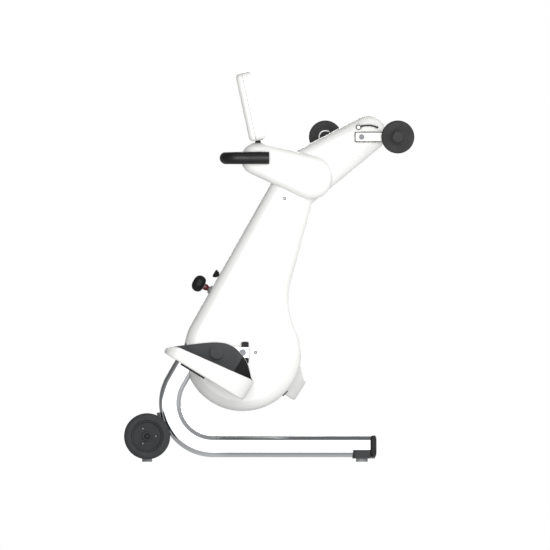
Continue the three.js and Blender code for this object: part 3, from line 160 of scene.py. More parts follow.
# Steel, turned and zinc plated: bright, slightly milky
zincSteel = surfaceFinish("zincPlatedSteel", "#B4B7BA", 0.32, metallic=1.0, grainMm=0.9, grainDepthMm=0.02)
# Nylon collar, moulded: pale grey
collarPlastic = surfaceFinish("paleGreyPlastic", "#8B8F90", 0.5, grainMm=0.7, grainDepthMm=0.03)
# Nylon stem, moulded smooth: dark red
redPlastic = surfaceFinish("darkRedPlastic", "#5A0C1C", 0.35, grainMm=1.0, grainDepthMm=0.02)
# Smoked glass, polished: nearly black with a sharp reflection
screenGlass = surfaceFinish("smokedScreenGlass", "#14171B", 0.07, coat=0.6, grainMm=20.0,
                            grainDepthMm=0.002, mottle=0.03)
# Glass fibre board, coated with solder mask: green with a low gloss
boardGreen = surfaceFinish("solderMaskGreen", "#1E5A3A", 0.4)
print("finishes made")

pinpoint = 0.01  # mm: points nearer than this are one, and a point on a lathe's axis gets this radius


def arcPoints(centre, radius, start, end, stepDegrees=2.5):
    steps = max(2, math.ceil(abs(end - start) / math.radians(stepDegrees)))
    turns = [start + (end - start) * i / steps for i in range(steps + 1)]
    return [(centre[0] + radius * math.cos(t), centre[1] + radius * math.sin(t)) for t in turns]


def tracedArcs(arcs, inset=0.0, stepDegrees=2.5):
    points = []
    for centre, radius, start, end in arcs:  # an arc that turns clockwise is hollow, so its inset is added
        inward = -inset if end > start else inset
        for point in arcPoints(centre, radius + inward, start, end, stepDegrees):
            if not points or math.dist(points[-1], point) > pinpoint:
                points.append(point)
    return points if math.dist(points[0], points[-1]) > pinpoint else points[:-1]


def heading(a, b):
    return math.atan2(b[1] - a[1], b[0] - a[0])


# Direction from the centres to the straight edge that touches both circles on their left
def leftNormal(a, radiusA, b, radiusB):
    return heading(a, b) + math.acos((radiusA - radiusB) / math.dist(a, b))


# The two arcs of the outline round two circles
def hullArcs(a, radiusA, b, radiusB):
    left = leftNormal(a, radiusA, b, radiusB)
    right = 2 * heading(a, b) - left
    return [(b, radiusB, right, left), (a, radiusA, left, right + 2 * math.pi)]


# The four corner arcs of a rectangle
def boxArcs(width, height, corner, middle=(0.0, 0.0)):
    signs = [(1, 1), (-1, 1), (-1, -1), (1, -1)]
    return [((middle[0] + sx * (width / 2 - corner), middle[1] + sz * (height / 2 - corner)), corner,
             quarter * math.pi / 2, (quarter + 1) * math.pi / 2) for quarter, (sx, sz) in enumerate(signs)]


def meshFromRings(name, rings, closed=False):
    mesh = bpy.data.meshes.new(name)
    count = len(rings[0])
    points = [Vector(p) * millimetre for ring in rings for p in ring]
    faces = []
    for k in range(len(rings) if closed else len(rings) - 1):
        here, there = k * count, ((k + 1) % len(rings)) * count
        for j in range(count):
            n = (j + 1) % count
            faces.append((here + j, here + n, there + n, there + j))
    if not closed:
        faces.append(tuple(reversed(range(count))))
        faces.append(tuple(range((len(rings) - 1) * count, len(rings) * count)))
    mesh.from_pydata(points, [], faces)
    work = bmesh.new()
    work.from_mesh(mesh)
    bmesh.ops.recalc_face_normals(work, faces=work.faces)
    work.to_mesh(mesh)
    work.free()
    return mesh


def smoothed(mesh, angle=35.0):
    for face in mesh.polygons:
        face.use_smooth = True
    mesh.set_sharp_from_angle(angle=math.radians(angle))
    return mesh


def keepFlats(obj):  # wide faces keep their own normal, so a polished flat mirrors as a flat
    weighted = obj.modifiers.new("flats", "WEIGHTED_NORMAL")
    weighted.keep_sharp = True
    weighted.weight = 80


def addPiece(name, mesh, material, body, stands=(), angle=35.0, bevelMm=0.0):
    obj = bpy.data.objects.new(name, smoothed(mesh, angle))
    scene.collection.objects.link(obj)
    obj.data.materials.append(material)
    if bevelMm:
        bevel = obj.modifiers.new("edge", "BEVEL")
        bevel.width = bevelMm * millimetre
        bevel.segments = 3
        bevel.limit_method = "ANGLE"
        bevel.angle_limit = math.radians(40)
        bevel.harden_normals = True
    keepFlats(obj)
    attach(obj, body)
    if stands:
        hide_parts(*stands)
    return obj


# Cuts the cutters out of the piece for good, so that no cutter is left in the scene
def carve(obj, cutters):
    for cutter in cutters:
        tool = bpy.data.objects.new("cutter", cutter)
        scene.collection.objects.link(tool)
        cut = obj.modifiers.new("cut", "BOOLEAN")
        cut.operation = "DIFFERENCE"
        cut.solver = "EXACT"
        cut.object = tool
        view = bpy.context.evaluated_depsgraph_get()
        result = bpy.data.meshes.new_from_object(obj.evaluated_get(view))
        obj.modifiers.clear()
        obj.data = result
        bpy.data.objects.remove(tool)
    smoothed(obj.data)
    keepFlats(obj)


# A CAD piece keeps its mesh and gets its finish here
def finishNode(name, material):
    node = nodes[name]
    node.data.materials.clear()
    node.data.materials.append(material)
    return node


def rodMesh(name, centre, radius, yLow, yHigh, facets=64):
    circle = arcPoints(centre, radius, 0, 2 * math.pi * (1 - 1 / facets), 360.0 / facets)
    return meshFromRings(name, [[(x, y, z) for x, z in circle] for y in (yLow, yHigh)])


def hasBore(profile):  # the profile runs back to its start without touching the axis
    return profile[0] == profile[-1] and profile[0][0] > 2 * pinpoint


def latheMesh(name, profile, centre, side=1, facets=72):
    rings = []
    for radius, y in profile:
        circle = arcPoints(centre, max(radius, pinpoint), 0, 2 * math.pi * (1 - 1 / facets), 360.0 / facets)
        rings.append([(x, side * y, z) for x, z in circle])
    return meshFromRings(name, rings, closed=hasBore(profile))


# Rounds every corner but the two ends, as far as the edges beside it allow
def fillet(profile, radius, steps=5):
    result = []
    for i, corner in enumerate(profile):
        if i in (0, len(profile) - 1):
            result.append(corner)
            continue
        before, here, after = Vector(profile[i - 1]), Vector(corner), Vector(profile[i + 1])
        reach = min(radius, (before - here).length * 0.45, (after - here).length * 0.45)
        a = here + (before - here).normalized() * reach
        b = here + (after - here).normalized() * reach
        for k in range(steps + 1):
            t = k / steps
            point = a * (1 - t) ** 2 + here * 2 * t * (1 - t) + b * t ** 2
            result.append((point.x, point.y))
    return result


housing = {"lobe": 170.0, "knee": (114.0, 821.0), "kneeRadius": 88.0, "tip": (287.5, 952.0),
           "tipRadius": 53.0, "crook": (138.0, 743.0), "crookRadius": 14.0, "hollowRadius": 210.0,
           "neckLean": math.radians(15.3), "halfWidth": 75.0, "rounding": 32.0, "wall": 3.0, "seam": 0.3,
           "legHole": 11.5, "armHole": 9.5, "holeReach": 90.0}
edgeNormal = leftNormal(legAxle, housing["lobe"], housing["knee"], housing["kneeRadius"])


# Anticlockwise round the body: lobe, hollow of the neck, crook under the arm, tip of the arm, knee
def bodyArcs():
    h = housing
    armTop = leftNormal(h["knee"], h["kneeRadius"], h["tip"], h["tipRadius"])
    reachRatio = -(h["tipRadius"] + h["crookRadius"]) / math.dist(h["crook"], h["tip"])
    armUnder = heading(h["crook"], h["tip"]) - math.acos(reachRatio)
    face = -h["neckLean"]
    up = Vector((math.sin(h["neckLean"]), math.cos(h["neckLean"])))
    out = Vector((math.cos(face), math.sin(face)))
    beside = Vector(h["crook"]) + out * (h["hollowRadius"] - h["crookRadius"])
    offset = beside - Vector(legAxle)
    along = offset.dot(up)
    reach = h["lobe"] + h["hollowRadius"]
    hollow = beside + up * (-along + math.sqrt(along ** 2 - offset.length_squared + reach ** 2))
    lobeEnd = heading(legAxle, hollow)
    return [(legAxle, h["lobe"], edgeNormal, lobeEnd + 2 * math.pi),
            (tuple(hollow), h["hollowRadius"], lobeEnd + math.pi, face + math.pi),
            (h["crook"], h["crookRadius"], face + math.pi, armUnder + math.pi),
            (h["tip"], h["tipRadius"], armUnder, armTop),
            (h["knee"], h["kneeRadius"], armTop, edgeNormal)]


# Distance from the middle and inset of each ring over a rounded edge
def roundingLevels(halfWidth, rounding, steps=10):
    turns = [math.pi / 2 * i / steps for i in range(steps + 1)]
    return [(halfWidth - rounding + rounding * math.sin(turn), rounding * (1 - math.cos(turn)))
            for turn in turns]


# Rings run from inside the side wall to the seam, then back over the outside, and both ends are closed
def halfShell(name, arcs, side, outer, wall, seam, chamfer=1.0):
    shellOuter = [(seam, chamfer * 0.7), (seam + chamfer, 0.0)] + outer
    shellInner = [(y - wall, inset + wall * 0.2) for y, inset in reversed(outer)]
    shellInner = [(max(y, seam + chamfer), max(inset, wall)) for y, inset in shellInner] + [(seam, wall)]
    rings = []
    for y, inset in shellInner + shellOuter:
        rings.append([(x, side * y, z) for x, z in tracedArcs(arcs, inset)])
    return meshFromRings(name, rings)


railShape = {"bend": (-162.0, 171.0), "radius": 126.0, "topAngle": 150.0, "turn": 120.0, "rise": 146.0,
             "side": 45.0, "splay": 21.0, "splayRadius": 150.0, "end": 299.5, "width": 34.0, "height": 63.0,
             "corner": 14.0, "play": 1.5, "overrun": 4.0}


# From the top end inside the body, down round the bend, then along the floor and outwards to the end cap
def railPath(overrun=0.0, bendSteps=48, splaySteps=12):
    bend = railShape["bend"]
    radius = railShape["radius"]
    top = math.radians(railShape["topAngle"])
    turn = math.radians(railShape["turn"])
    rising = Vector((math.sin(top), 0, -math.cos(top)))
    stations = []
    def inBend(angle):
        place = Vector((bend[0] + radius * math.cos(angle), railShape["side"],
                        bend[1] + radius * math.sin(angle)))
        return place, Vector((0, 1, 0)), Vector((-math.cos(angle), 0, -math.sin(angle)))
    first = inBend(top)
    stations.append((first[0] + rising * (railShape["rise"] + overrun), first[1], first[2]))
    for i in range(bendSteps + 1):
        stations.append(inBend(top + turn * i / bendSteps))
    splay = math.radians(railShape["splay"])
    wide = railShape["splayRadius"]
    def onFloor(x, y, angle):
        return (Vector((x, y, bend[1] - radius)), Vector((-math.sin(angle), math.cos(angle), 0)),
                Vector((0, 0, 1)))
    for i in range(1, splaySteps + 1):
        angle = splay * i / splaySteps
        stations.append(onFloor(wide * math.sin(angle) + bend[0],
                                railShape["side"] + wide * (1 - math.cos(angle)), angle))
    last = stations[-1][0]
    run = (railShape["end"] - last.x) / math.cos(splay) + overrun
    stations.append(onFloor(last.x + run * math.cos(splay), last.y + run * math.sin(splay), splay))
    return stations


# An outline carried along stations, each with its place and its own directions sideways and up
def sweptMesh(name, stations, outline, side=1):
    rings = []
    for place, sideways, up in stations:
        ring = [place + sideways * x + up * z for x, z in outline]
        rings.append([(p.x, side * p.y, p.z) for p in ring])
    return meshFromRings(name, rings)


def railSection(play=0.0):
    return tracedArcs(boxArcs(railShape["width"] + 2 * play, railShape["height"] + 2 * play,
                              railShape["corner"] + play), 0.0, 9)


bodyLine = bodyArcs()
bodyLevels = roundingLevels(housing["halfWidth"], housing["rounding"])
holeReach = housing["holeReach"]
for label, side in bothSides:
    railMesh = sweptMesh(f"rail_{label}", railPath(), railSection(), side)
    addPiece(f"rail_{label}", railMesh, chromeTube, "base", [f"base_rail_{label}"])
    shellMesh = halfShell(f"body_shell_{label}", bodyLine, side, bodyLevels, housing["wall"],
                          housing["seam"])
    half = addPiece(f"body_shell_{label}", shellMesh, whiteAbs, "base", [f"housing_{label}"])
    railHole = sweptMesh("railHole", railPath(railShape["overrun"]), railSection(railShape["play"]), side)
    carve(half, [rodMesh("legHole", legAxle, housing["legHole"], -holeReach, holeReach),
                 rodMesh("armHole", armAxle, housing["armHole"], -holeReach, holeReach), railHole])
print("rails and body shells made")

head = {"nose": (-34.8, 878.7), "noseRadius": 47.0, "hub": (119.5, 825.0), "hubRadius": 64.0,
        "halfWidth": 95.0, "rounding": 22.0}
headArcs = hullArcs(head["nose"], head["noseRadius"], head["hub"], head["hubRadius"])
headLevels = roundingLevels(head["halfWidth"], head["rounding"], 12)
headRings = [(-y, inset) for y, inset in reversed(headLevels)] + headLevels
headMesh = meshFromRings("head_shell", [[(x, y, z) for x, z in tracedArcs(headArcs, inset)]
                                        for y, inset in headRings])
headShell = addPiece("head_shell", headMesh, whiteAbs, "base", ["head_housing"])

bar = {"radius": 18.0, "front": -125.8, "tail": 0.2, "side": 117.0, "bend": 34.0, "height": 881.0,
       "edge": 2.0, "facets": 40}


# From one tail forwards, round the corner, and back the same way on the other side
def barPath(steps=16):
    corner = (bar["front"] + bar["bend"], bar["side"] - bar["bend"])
    def at(x, y, angle):
        return (Vector((x, y, bar["height"])), Vector((-math.sin(angle), math.cos(angle), 0)),
                Vector((0, 0, 1)))
    half = [at(bar["tail"], bar["side"], math.pi)]
    for i in range(steps + 1):
        turn = math.pi / 2 * i / steps
        half.append(at(corner[0] - bar["bend"] * math.sin(turn), corner[1] + bar["bend"] * math.cos(turn),
                       math.pi + turn))
    other = [(Vector((p.x, -p.y, p.z)), Vector((s.x, -s.y, 0)), u) for p, s, u in reversed(half)]
    return half + other


foamTurns = [2 * math.pi * i / bar["facets"] for i in range(bar["facets"])]
foamRing = [(bar["radius"] * math.cos(turn), bar["radius"] * math.sin(turn)) for turn in foamTurns]
addPiece("bar_foam", sweptMesh("bar_foam", barPath(), foamRing), blackFoam, "base",
         ["handlebar_foam"], bevelMm=bar["edge"])
finishNode("handlebar_tube", zincSteel)
print("head and handlebar made")

foot = {"crank": 75.0, "length": 269.0, "width": 120.0, "inner": 107.0, "wall": 5.0, "floor": 8.0,
        "tilt": 31.3, "linerGap": 0.3, "liner": 3.0, "linerRise": 1.0, "heelShadeFrom": 203.0, "topBlend": 44.0,
        "rim": 1.5, "baseInset": 7.0, "baseRise": 6.0, "innerCorner": 5.0,
        "pinAlong": 132.0, "pinRise": 80.0, "heelCorner": 48.0, "toeCorner": 40.0,
        "low": [(0, 14), (22, 34.5), (264, 66), (269, 62)],
        "high": [(0, 14), (22, 34.5), (88, 87), (116, 107.5), (146, 120.5), (172, 121.5), (201, 113.5),
                 (227, 98.5), (253, 77), (264, 66), (269, 62)]}


def heightAt(line, along):
    if along <= line[0][0]:
        return line[0][1]
    for (xa, za), (xb, zb) in zip(line, line[1:]):
        if along <= xb:
            t = (along - xa) / (xb - xa)
            return za + (zb - za) * t
    return line[-1][1]


def softened(line, along, reach=9.0):
    spots = [min(foot["length"], max(0.0, along + reach * (k - 3) / 3)) for k in range(7)]
    return sum(heightAt(line, spot) for spot in spots) / 7


# The sole's outline from above, its points about one spacing apart or less
def planPoints(inset, spacing=9):
    halfWide = foot["width"] / 2
    arcs = []
    for sideways, heelward, corner, start in ((1, 1, foot["heelCorner"], 0), (1, -1, foot["toeCorner"], 90),
                                              (-1, -1, foot["toeCorner"], 180),
                                              (-1, 1, foot["heelCorner"], 270)):
        x = foot["length"] - corner if heelward > 0 else corner
        arcs.append(((x, sideways * (halfWide - corner)), corner, math.radians(start),
                     math.radians(start + 90)))
    points = tracedArcs(arcs, inset, 6)
    dense = []
    for a, b in zip(points, points[1:] + points[:1]):
        cuts = max(1, round(math.dist(a, b) / spacing))
        dense += [(a[0] + (b[0] - a[0]) * k / cuts, a[1] + (b[1] - a[1]) * k / cuts) for k in range(cuts)]
    return dense


# The tub's rim is high along the inner side and falls to the low line on the outer side
def topOf(along, across):
    blend = min(1.0, max(0.0, (across + foot["width"] / 2) / foot["topBlend"]))
    blend = blend * blend * (3 - 2 * blend)
    return softened(foot["high"], along) * (1 - blend) + softened(foot["low"], along) * blend


def onPin(point, pinX, side):
    along, across, rise = point[0] - foot["pinAlong"], point[1], point[2] - foot["pinRise"]
    tilt = math.radians(foot["tilt"])
    return (pinX + along * math.cos(tilt) + rise * math.sin(tilt),
            side * (foot["inner"] + foot["width"] / 2 + across),
            legAxle[1] - along * math.sin(tilt) + rise * math.cos(tilt))


# Up the outside of the tub, over its rim and down to the floor inside
def tubRings(outside, inside, floor, underside, lowering):
    rim = foot["rim"]
    wallStart = underside + foot["baseRise"]
    wide, narrow = planPoints(outside), planPoints(inside)
    base = planPoints(outside + foot["baseInset"])
    rings = [[(x, y, underside) for x, y in base]]
    rings.append([(x + (bx - x) * 0.35, y + (by - y) * 0.35, underside + 1.2)
                  for (x, y), (bx, by) in zip(wide, base)])
    rings.append([(x, y, wallStart) for x, y in wide])
    for share in (0.5, 1.0):
        rings.append([(x, y, wallStart + (topOf(x, y) - lowering - rim - wallStart) * share)
                      for x, y in wide])
    for turn, drop in ((0.3, 0.25), (0.7, 0.25)):
        rings.append([(x + (nx - x) * turn, y + (ny - y) * turn, topOf(x, y) - lowering - rim * drop)
                      for (x, y), (nx, ny) in zip(wide, narrow)])
    rings.append([(x, y, topOf(wx, wy) - lowering - rim) for (x, y), (wx, wy) in zip(narrow, wide)])
    rings.append([(x, y, floor + foot["innerCorner"]) for x, y in narrow])
    rings.append([(x, y, floor) for x, y in planPoints(inside + foot["innerCorner"])])
    return rings


def footRings(rings, pinX, side):
    return [[onPin(point, pinX, side) for point in ring] for ring in rings]


pinBoss = {"bore": 7.6, "radius": 15.8, "inner": 111.5, "outer": 124.0, "rounding": 1.2, "holeReach": 140.0}
pinCap = {"hole": 19.4, "radius": 19.5, "recess": 16.6, "inner": 112.5, "face": 125.6, "outer": 128.5,
          "rounding": 1.2}
bossProfile = fillet([(pinBoss["bore"], pinBoss["inner"]), (pinBoss["radius"], pinBoss["inner"]),
                      (pinBoss["radius"], pinBoss["outer"]), (pinBoss["bore"], pinBoss["outer"]),
                      (pinBoss["bore"], pinBoss["inner"])], pinBoss["rounding"])
pinCapProfile = fillet([(0, pinCap["face"]), (pinCap["recess"], pinCap["face"]),
                        (pinCap["recess"], pinCap["inner"]), (pinCap["radius"], pinCap["inner"]),
                        (pinCap["radius"], pinCap["outer"]), (0, pinCap["outer"])], pinCap["rounding"])
linerOutside = foot["wall"] + foot["linerGap"]
linerUnderside = foot["floor"] + foot["linerGap"]
for label, side in bothSides:
    body = f"foot_{label}"
    pin = (legAxle[0] + side * foot["crank"], legAxle[1])
    shellRings = tubRings(0, foot["wall"], foot["floor"], 0, 0)
    shellMesh = meshFromRings(f"sole_shell_{label}", footRings(shellRings, pin[0], side))
    shellPiece = addPiece(f"sole_shell_{label}", shellMesh, shellWhite, body,
                          [f"foot_shell_{label}"], angle=50)
    linerRings = tubRings(linerOutside, linerOutside + foot["liner"], linerUnderside + foot["liner"],
                          linerUnderside, -foot["linerRise"])
    linerMesh = meshFromRings(f"sole_liner_{label}", footRings(linerRings, pin[0], side))
    linerPiece = addPiece(f"sole_liner_{label}", linerMesh, linerRubber, body,
                          [f"foot_liner_{label}"], angle=50)
    # Painted shade: liner faces beyond this distance along the sole take the black rubber, standing in for
    # the shade in the rounded heel
    linerPiece.data.materials.append(heelShadeRubber)
    tilt = math.radians(foot["tilt"])
    for face in linerPiece.data.polygons:
        centre = face.center / millimetre
        along = (centre.x - pin[0]) * math.cos(tilt) - (centre.z - pin[1]) * math.sin(tilt)
        face.material_index = 1 if along + foot["pinAlong"] > foot["heelShadeFrom"] else 0
    reach = pinBoss["holeReach"]
    carve(shellPiece, [rodMesh("pinHole", pin, pinBoss["bore"], -reach, reach)])
    carve(linerPiece, [rodMesh("pinHole", pin, pinCap["hole"], -reach, reach)])
    bossMesh = latheMesh(f"pin_boss_{label}", bossProfile, pin, side)
    addPiece(f"pin_boss_{label}", bossMesh, shellWhite, body, angle=30)
    capMesh = latheMesh(f"liner_cap_{label}", pinCapProfile, pin, side)
    addPiece(f"liner_cap_{label}", capMesh, linerRubber, body, angle=30)
print("foot shells made")

grip = {"crank": 105.0, "disc": 48.0, "discInner": 99.0, "discOuter": 111.0, "lip": 4.0, "radius": 17.0,
        "end": 223.0, "pin": 7.6, "pinEnd": 171.5, "ribs": 9, "ribStart": 128.0, "ribPitch": 9.5,
        "ribWidth": 8.0, "groove": 1.4, "grooveStep": 1.6, "rounding": 1.6, "hollowFrom": 20.0,
        "hollowTo": 31.0, "hollowDepth": 0.8, "skirt": 26.0, "neck": 18.0, "ringBore": 16.6, "ring": 20.0,
        "ringInner": 97.6, "ringOuter": 98.9}
gripProfile = [(0, grip["pinEnd"]), (grip["pin"], grip["pinEnd"]), (grip["pin"], grip["discInner"]),
               (grip["hollowFrom"], grip["discInner"]),
               (grip["hollowFrom"] + 1, grip["discInner"] + grip["hollowDepth"]),
               (grip["hollowTo"] - 1, grip["discInner"] + grip["hollowDepth"]),
               (grip["hollowTo"], grip["discInner"]), (grip["disc"] - grip["lip"], grip["discInner"]),
               (grip["disc"], grip["discInner"] + grip["lip"]),
               (grip["disc"], grip["discOuter"] - grip["lip"]),
               (grip["disc"] - grip["lip"], grip["discOuter"]), (grip["skirt"], grip["discOuter"]),
               (grip["neck"], grip["discOuter"] + 4), (grip["neck"] - 2, grip["discOuter"] + 9)]
for rib in range(grip["ribs"]):
    y = grip["ribStart"] + rib * grip["ribPitch"]
    valley = grip["radius"] - grip["groove"]
    gripProfile += [(valley, y), (grip["radius"], y + grip["grooveStep"]),
                    (grip["radius"], y + grip["ribWidth"] - grip["grooveStep"]),
                    (valley, y + grip["ribWidth"])]
gripProfile += [(grip["radius"] - 0.2, grip["end"] - 7), (grip["radius"] - 3, grip["end"]),
                (0, grip["end"])]
ringProfile = [(grip["ringBore"], grip["ringOuter"]), (grip["ringBore"], grip["ringInner"]),
               (grip["ring"], grip["ringInner"]), (grip["ring"], grip["ringOuter"]),
               (grip["ringBore"], grip["ringOuter"])]
for label, side in bothSides:
    pin = (armAxle[0] - side * grip["crank"], armAxle[1])
    gripMesh = latheMesh(f"grip_{label}", fillet(gripProfile, grip["rounding"], 3), pin, side)
    addPiece(f"grip_{label}", gripMesh, gripRubber, f"grip_{label}", [f"hand_grip_{label}"],
             angle=30)
    ringMesh = latheMesh(f"disc_ring_{label}", ringProfile, pin, side)
    addPiece(f"disc_ring_{label}", ringMesh, whiteAbs, f"grip_{label}", angle=30)
print("grips made")

panel = {"hinge": (-31.3, 921.0), "tilt": 12.2, "half": 23.0, "height": 201.0, "width": 300.0,
         "corner": 16.0, "base": 11.0, "back": 13.0, "front": 4.5, "part": -4.0, "margin": 9.0,
         "groove": 1.6, "sealInset": 1.0, "sill": 1.0, "sillWidth": 24.0, "sillHalf": 122.0,
         "sillFront": 4.0, "sillCorner": 5.0, "slot": 12.0, "slotHalf": 28.0, "cheekRise": 27.0,
         "cheekRadius": 8.0, "cheekInner": 18.6, "cheekOuter": 26.5, "cheekHole": 4.5, "cheekEdge": 0.8,
         "holeReach": 40.0, "stepInset": 0.4, "stepDepth": 1.6, "sealGap": 0.1, "sillSink": 0.6}
hingeSlot = rodMesh("hingeSlot", panel["hinge"], panel["slot"], -panel["slotHalf"], panel["slotHalf"])
carve(headShell, [hingeSlot])


def onPanel(x, y, z):
    tilt = math.radians(panel["tilt"])
    z += panel["base"] + panel["height"] / 2
    return (panel["hinge"][0] + x * math.cos(tilt) - z * math.sin(tilt), y,
            panel["hinge"][1] + x * math.sin(tilt) + z * math.cos(tilt))


def panelRings(levels):
    arcs = boxArcs(panel["width"], panel["height"], panel["corner"])
    return [[onPanel(x, y, z) for y, z in tracedArcs(arcs, inset, 9)] for x, inset in levels]


# Place and inset of each ring over a quarter rounding that ends at a flat face
def edgeTurn(at, radius, direction, steps=7):
    return [(at + direction * radius * (1 - math.sin(math.pi / 2 * k / steps)),
             radius * (1 - math.cos(math.pi / 2 * k / steps))) for k in range(steps + 1)]


backLevels = sorted(edgeTurn(-panel["half"], panel["back"], 1))
backLevels.append((panel["part"] - panel["groove"] / 2, 0.0))
addPiece("display_rear", meshFromRings("display_rear", panelRings(backLevels)), whiteAbs, "display",
         ["display_back"])
frontLevels = [(panel["part"] + panel["groove"] / 2, 0.0)]
frontLevels += sorted(edgeTurn(panel["half"], panel["front"], -1))
frontLevels += [(panel["half"], panel["margin"] - panel["stepInset"]),
                (panel["half"] - panel["stepDepth"], panel["margin"] - panel["stepInset"] / 2)]
addPiece("display_bezel", meshFromRings("display_bezel", panelRings(frontLevels)), whiteAbs, "display",
         ["display_front"])
sealHalf = panel["groove"] / 2 - panel["sealGap"]
sealRings = panelRings([(panel["part"] + way * sealHalf, panel["sealInset"]) for way in (-1, 1)])
addPiece("display_seal", meshFromRings("display_seal", sealRings), collarPlastic, "display",
         angle=30)
sillArcs = boxArcs(panel["sillWidth"], 2 * panel["sillHalf"], panel["sillCorner"],
                   (panel["sillFront"], 0.0))
sillLine = tracedArcs(sillArcs, 0.0, 15)
sillMesh = meshFromRings("display_sill", [[onPanel(x, y, z - panel["height"] / 2) for x, y in sillLine]
                                          for z in (-panel["sill"], panel["sillSink"])])
addPiece("display_sill", sillMesh, greyPlastic, "display", angle=30)
finishNode("display_glass", screenGlass)
cheekLean = math.radians(panel["tilt"])
cheekTop = (panel["hinge"][0] - panel["cheekRise"] * math.sin(cheekLean),
            panel["hinge"][1] + panel["cheekRise"] * math.cos(cheekLean))
cheekLine = tracedArcs(hullArcs(panel["hinge"], panel["cheekRadius"], cheekTop, panel["cheekRadius"]), 0, 8)
for label, side in bothSides:
    cheekMesh = meshFromRings(f"hinge_cheek_{label}", [[(x, side * y, z) for x, z in cheekLine]
                                                       for y in (panel["cheekInner"], panel["cheekOuter"])])
    cheek = addPiece(f"hinge_cheek_{label}", cheekMesh, greyPlastic, "display",
                     bevelMm=panel["cheekEdge"])
    carve(cheek, [rodMesh("pinHole", panel["hinge"], panel["cheekHole"], -panel["holeReach"],
                          panel["holeReach"])])
print("display made")

edgeStart = (legAxle[0] + housing["lobe"] * math.cos(edgeNormal),
             legAxle[1] + housing["lobe"] * math.sin(edgeNormal))
# A profile gives radius and height above the body's edge
knobs = {"lockAt": 112.0, "sideAt": 160.0, "fluteStart": 12.0, "capRadius": 25.0, "capBase": 22.3,
         "capThickness": 35.0, "capFlutes": (9, 1.6), "sideFlutes": (8, 1.1),
         "capRounding": 3.0, "stemRounding": 0.6, "collarRounding": 0.8, "sideRounding": 1.2,
         "cap": [(0.0, 0.0), (0.45, 0.0), (0.8, 0.1), (0.97, 0.32), (1.0, 0.5), (0.93, 0.72), (0.7, 0.9),
                 (0.4, 0.98), (0.0, 1.0)],
         "stem": [(0, -24), (7, -24), (7, 10), (9.5, 14), (9.5, 22), (0, 22)],
         "collar": [(7.6, -6), (12, -6), (12, 4), (10.5, 6), (7.6, 6), (7.6, -6)],
         "side": [(0, -24), (4.9, -24), (4.9, 2.5), (8, 2.5), (13, 13.3), (8, 16), (0, 16)]}


# Turned about a line square to the body's edge; along is its distance up that edge from the lobe
def edgeLathe(name, profile, along, material, body, slotName, stands, flutes=0, depth=0.0, facets=72):
    away = Vector((math.cos(edgeNormal), 0, math.sin(edgeNormal)))
    upward = Vector((math.sin(edgeNormal), 0, -math.cos(edgeNormal)))
    stand = Vector((edgeStart[0], 0, edgeStart[1])) + upward * along
    rings = []
    for radius, rise in profile:
        ring = []
        for k in range(facets):
            turn = 2 * math.pi * k / facets
            r = max(radius, pinpoint)
            if radius > knobs["fluteStart"]:
                r -= depth * (0.5 + 0.5 * math.cos(flutes * turn)) ** 3
            across = Vector((0, r * math.sin(turn), 0))
            ring.append(stand + away * rise + upward * r * math.cos(turn) + across)
        rings.append([tuple(p) for p in ring])
    return addPiece(name, meshFromRings(name, rings, hasBore(profile)), material, body, stands,
                    angle=30)


capProfile = fillet([(across * knobs["capRadius"], knobs["capBase"] + up * knobs["capThickness"])
                     for across, up in knobs["cap"]], knobs["capRounding"])
edgeLathe("pull_cap", capProfile, knobs["lockAt"], blackPlastic, "lock_pin", "black_plastic", ["lock_knob"],
          *knobs["capFlutes"])
edgeLathe("pull_stem", fillet(knobs["stem"], knobs["stemRounding"]), knobs["lockAt"], redPlastic,
          "lock_pin", "red_plastic", ["lock_stem"])
edgeLathe("pull_collar", fillet(knobs["collar"], knobs["collarRounding"]), knobs["lockAt"], collarPlastic,
          "base", "pale_grey_plastic", ["lock_collar"])
edgeLathe("side_knob", fillet(knobs["side"], knobs["sideRounding"]), knobs["sideAt"], blackPlastic,
          "turn_knob", "black_plastic", ["height_knob"], *knobs["sideFlutes"])
print("knobs made")

wheel = {"centre": (-354.0, 74.0), "radius": 67.0, "rim": 46.0, "inner": 172.0, "outer": 206.0, "bore": 8.5,
         "sleeve": 14.0, "web": 39.0, "screwCircle": 25.0, "screwTurns": (120, 0, 240),
         "tyreRounding": 3.0, "hubRounding": 1.2, "screwRounding": 0.5, "capRounding": 0.8,
         "screw": [(0, 199.2), (3.6, 199.2), (3.6, 201.4), (2, 202.2), (0, 202.2)],
         "axleCap": [(0, 199), (8, 199), (8, 201.5), (5.5, 203), (0, 203)]}
tyreProfile = fillet([(wheel["rim"] + 4, wheel["inner"]), (wheel["radius"] - 9, wheel["inner"]),
                      (wheel["radius"] - 3, wheel["inner"] + 3), (wheel["radius"], wheel["inner"] + 9),
                      (wheel["radius"], wheel["outer"] - 9), (wheel["radius"] - 3, wheel["outer"] - 3),
                      (wheel["radius"] - 9, wheel["outer"]), (wheel["rim"], wheel["outer"]),
                      (wheel["rim"], wheel["inner"] + 4), (wheel["rim"] + 4, wheel["inner"] + 4),
                      (wheel["rim"] + 4, wheel["inner"])], wheel["tyreRounding"], 4)
hubEdge = wheel["rim"] - 0.3
hubFace = wheel["outer"] - 2.5
flange = wheel["rim"] + 3.5  # it seats behind the tyre, so no light passes between tyre and hub
hubProfile = fillet([(wheel["bore"], wheel["inner"]), (wheel["sleeve"], wheel["inner"]),
                     (wheel["sleeve"], wheel["inner"] + 7), (wheel["web"] - 1, wheel["inner"] + 7),
                     (wheel["web"] + 4, wheel["inner"] + 0.4), (flange, wheel["inner"] + 0.4),
                     (flange, wheel["inner"] + 3.5), (hubEdge, wheel["inner"] + 3.5), (hubEdge, hubFace),
                     (wheel["web"] + 3, hubFace), (wheel["web"], hubFace - 4),
                     (wheel["sleeve"] + 2, hubFace - 4), (wheel["sleeve"], hubFace - 1),
                     (wheel["bore"], hubFace - 1), (wheel["bore"], wheel["inner"])],
                    wheel["hubRounding"], 4)
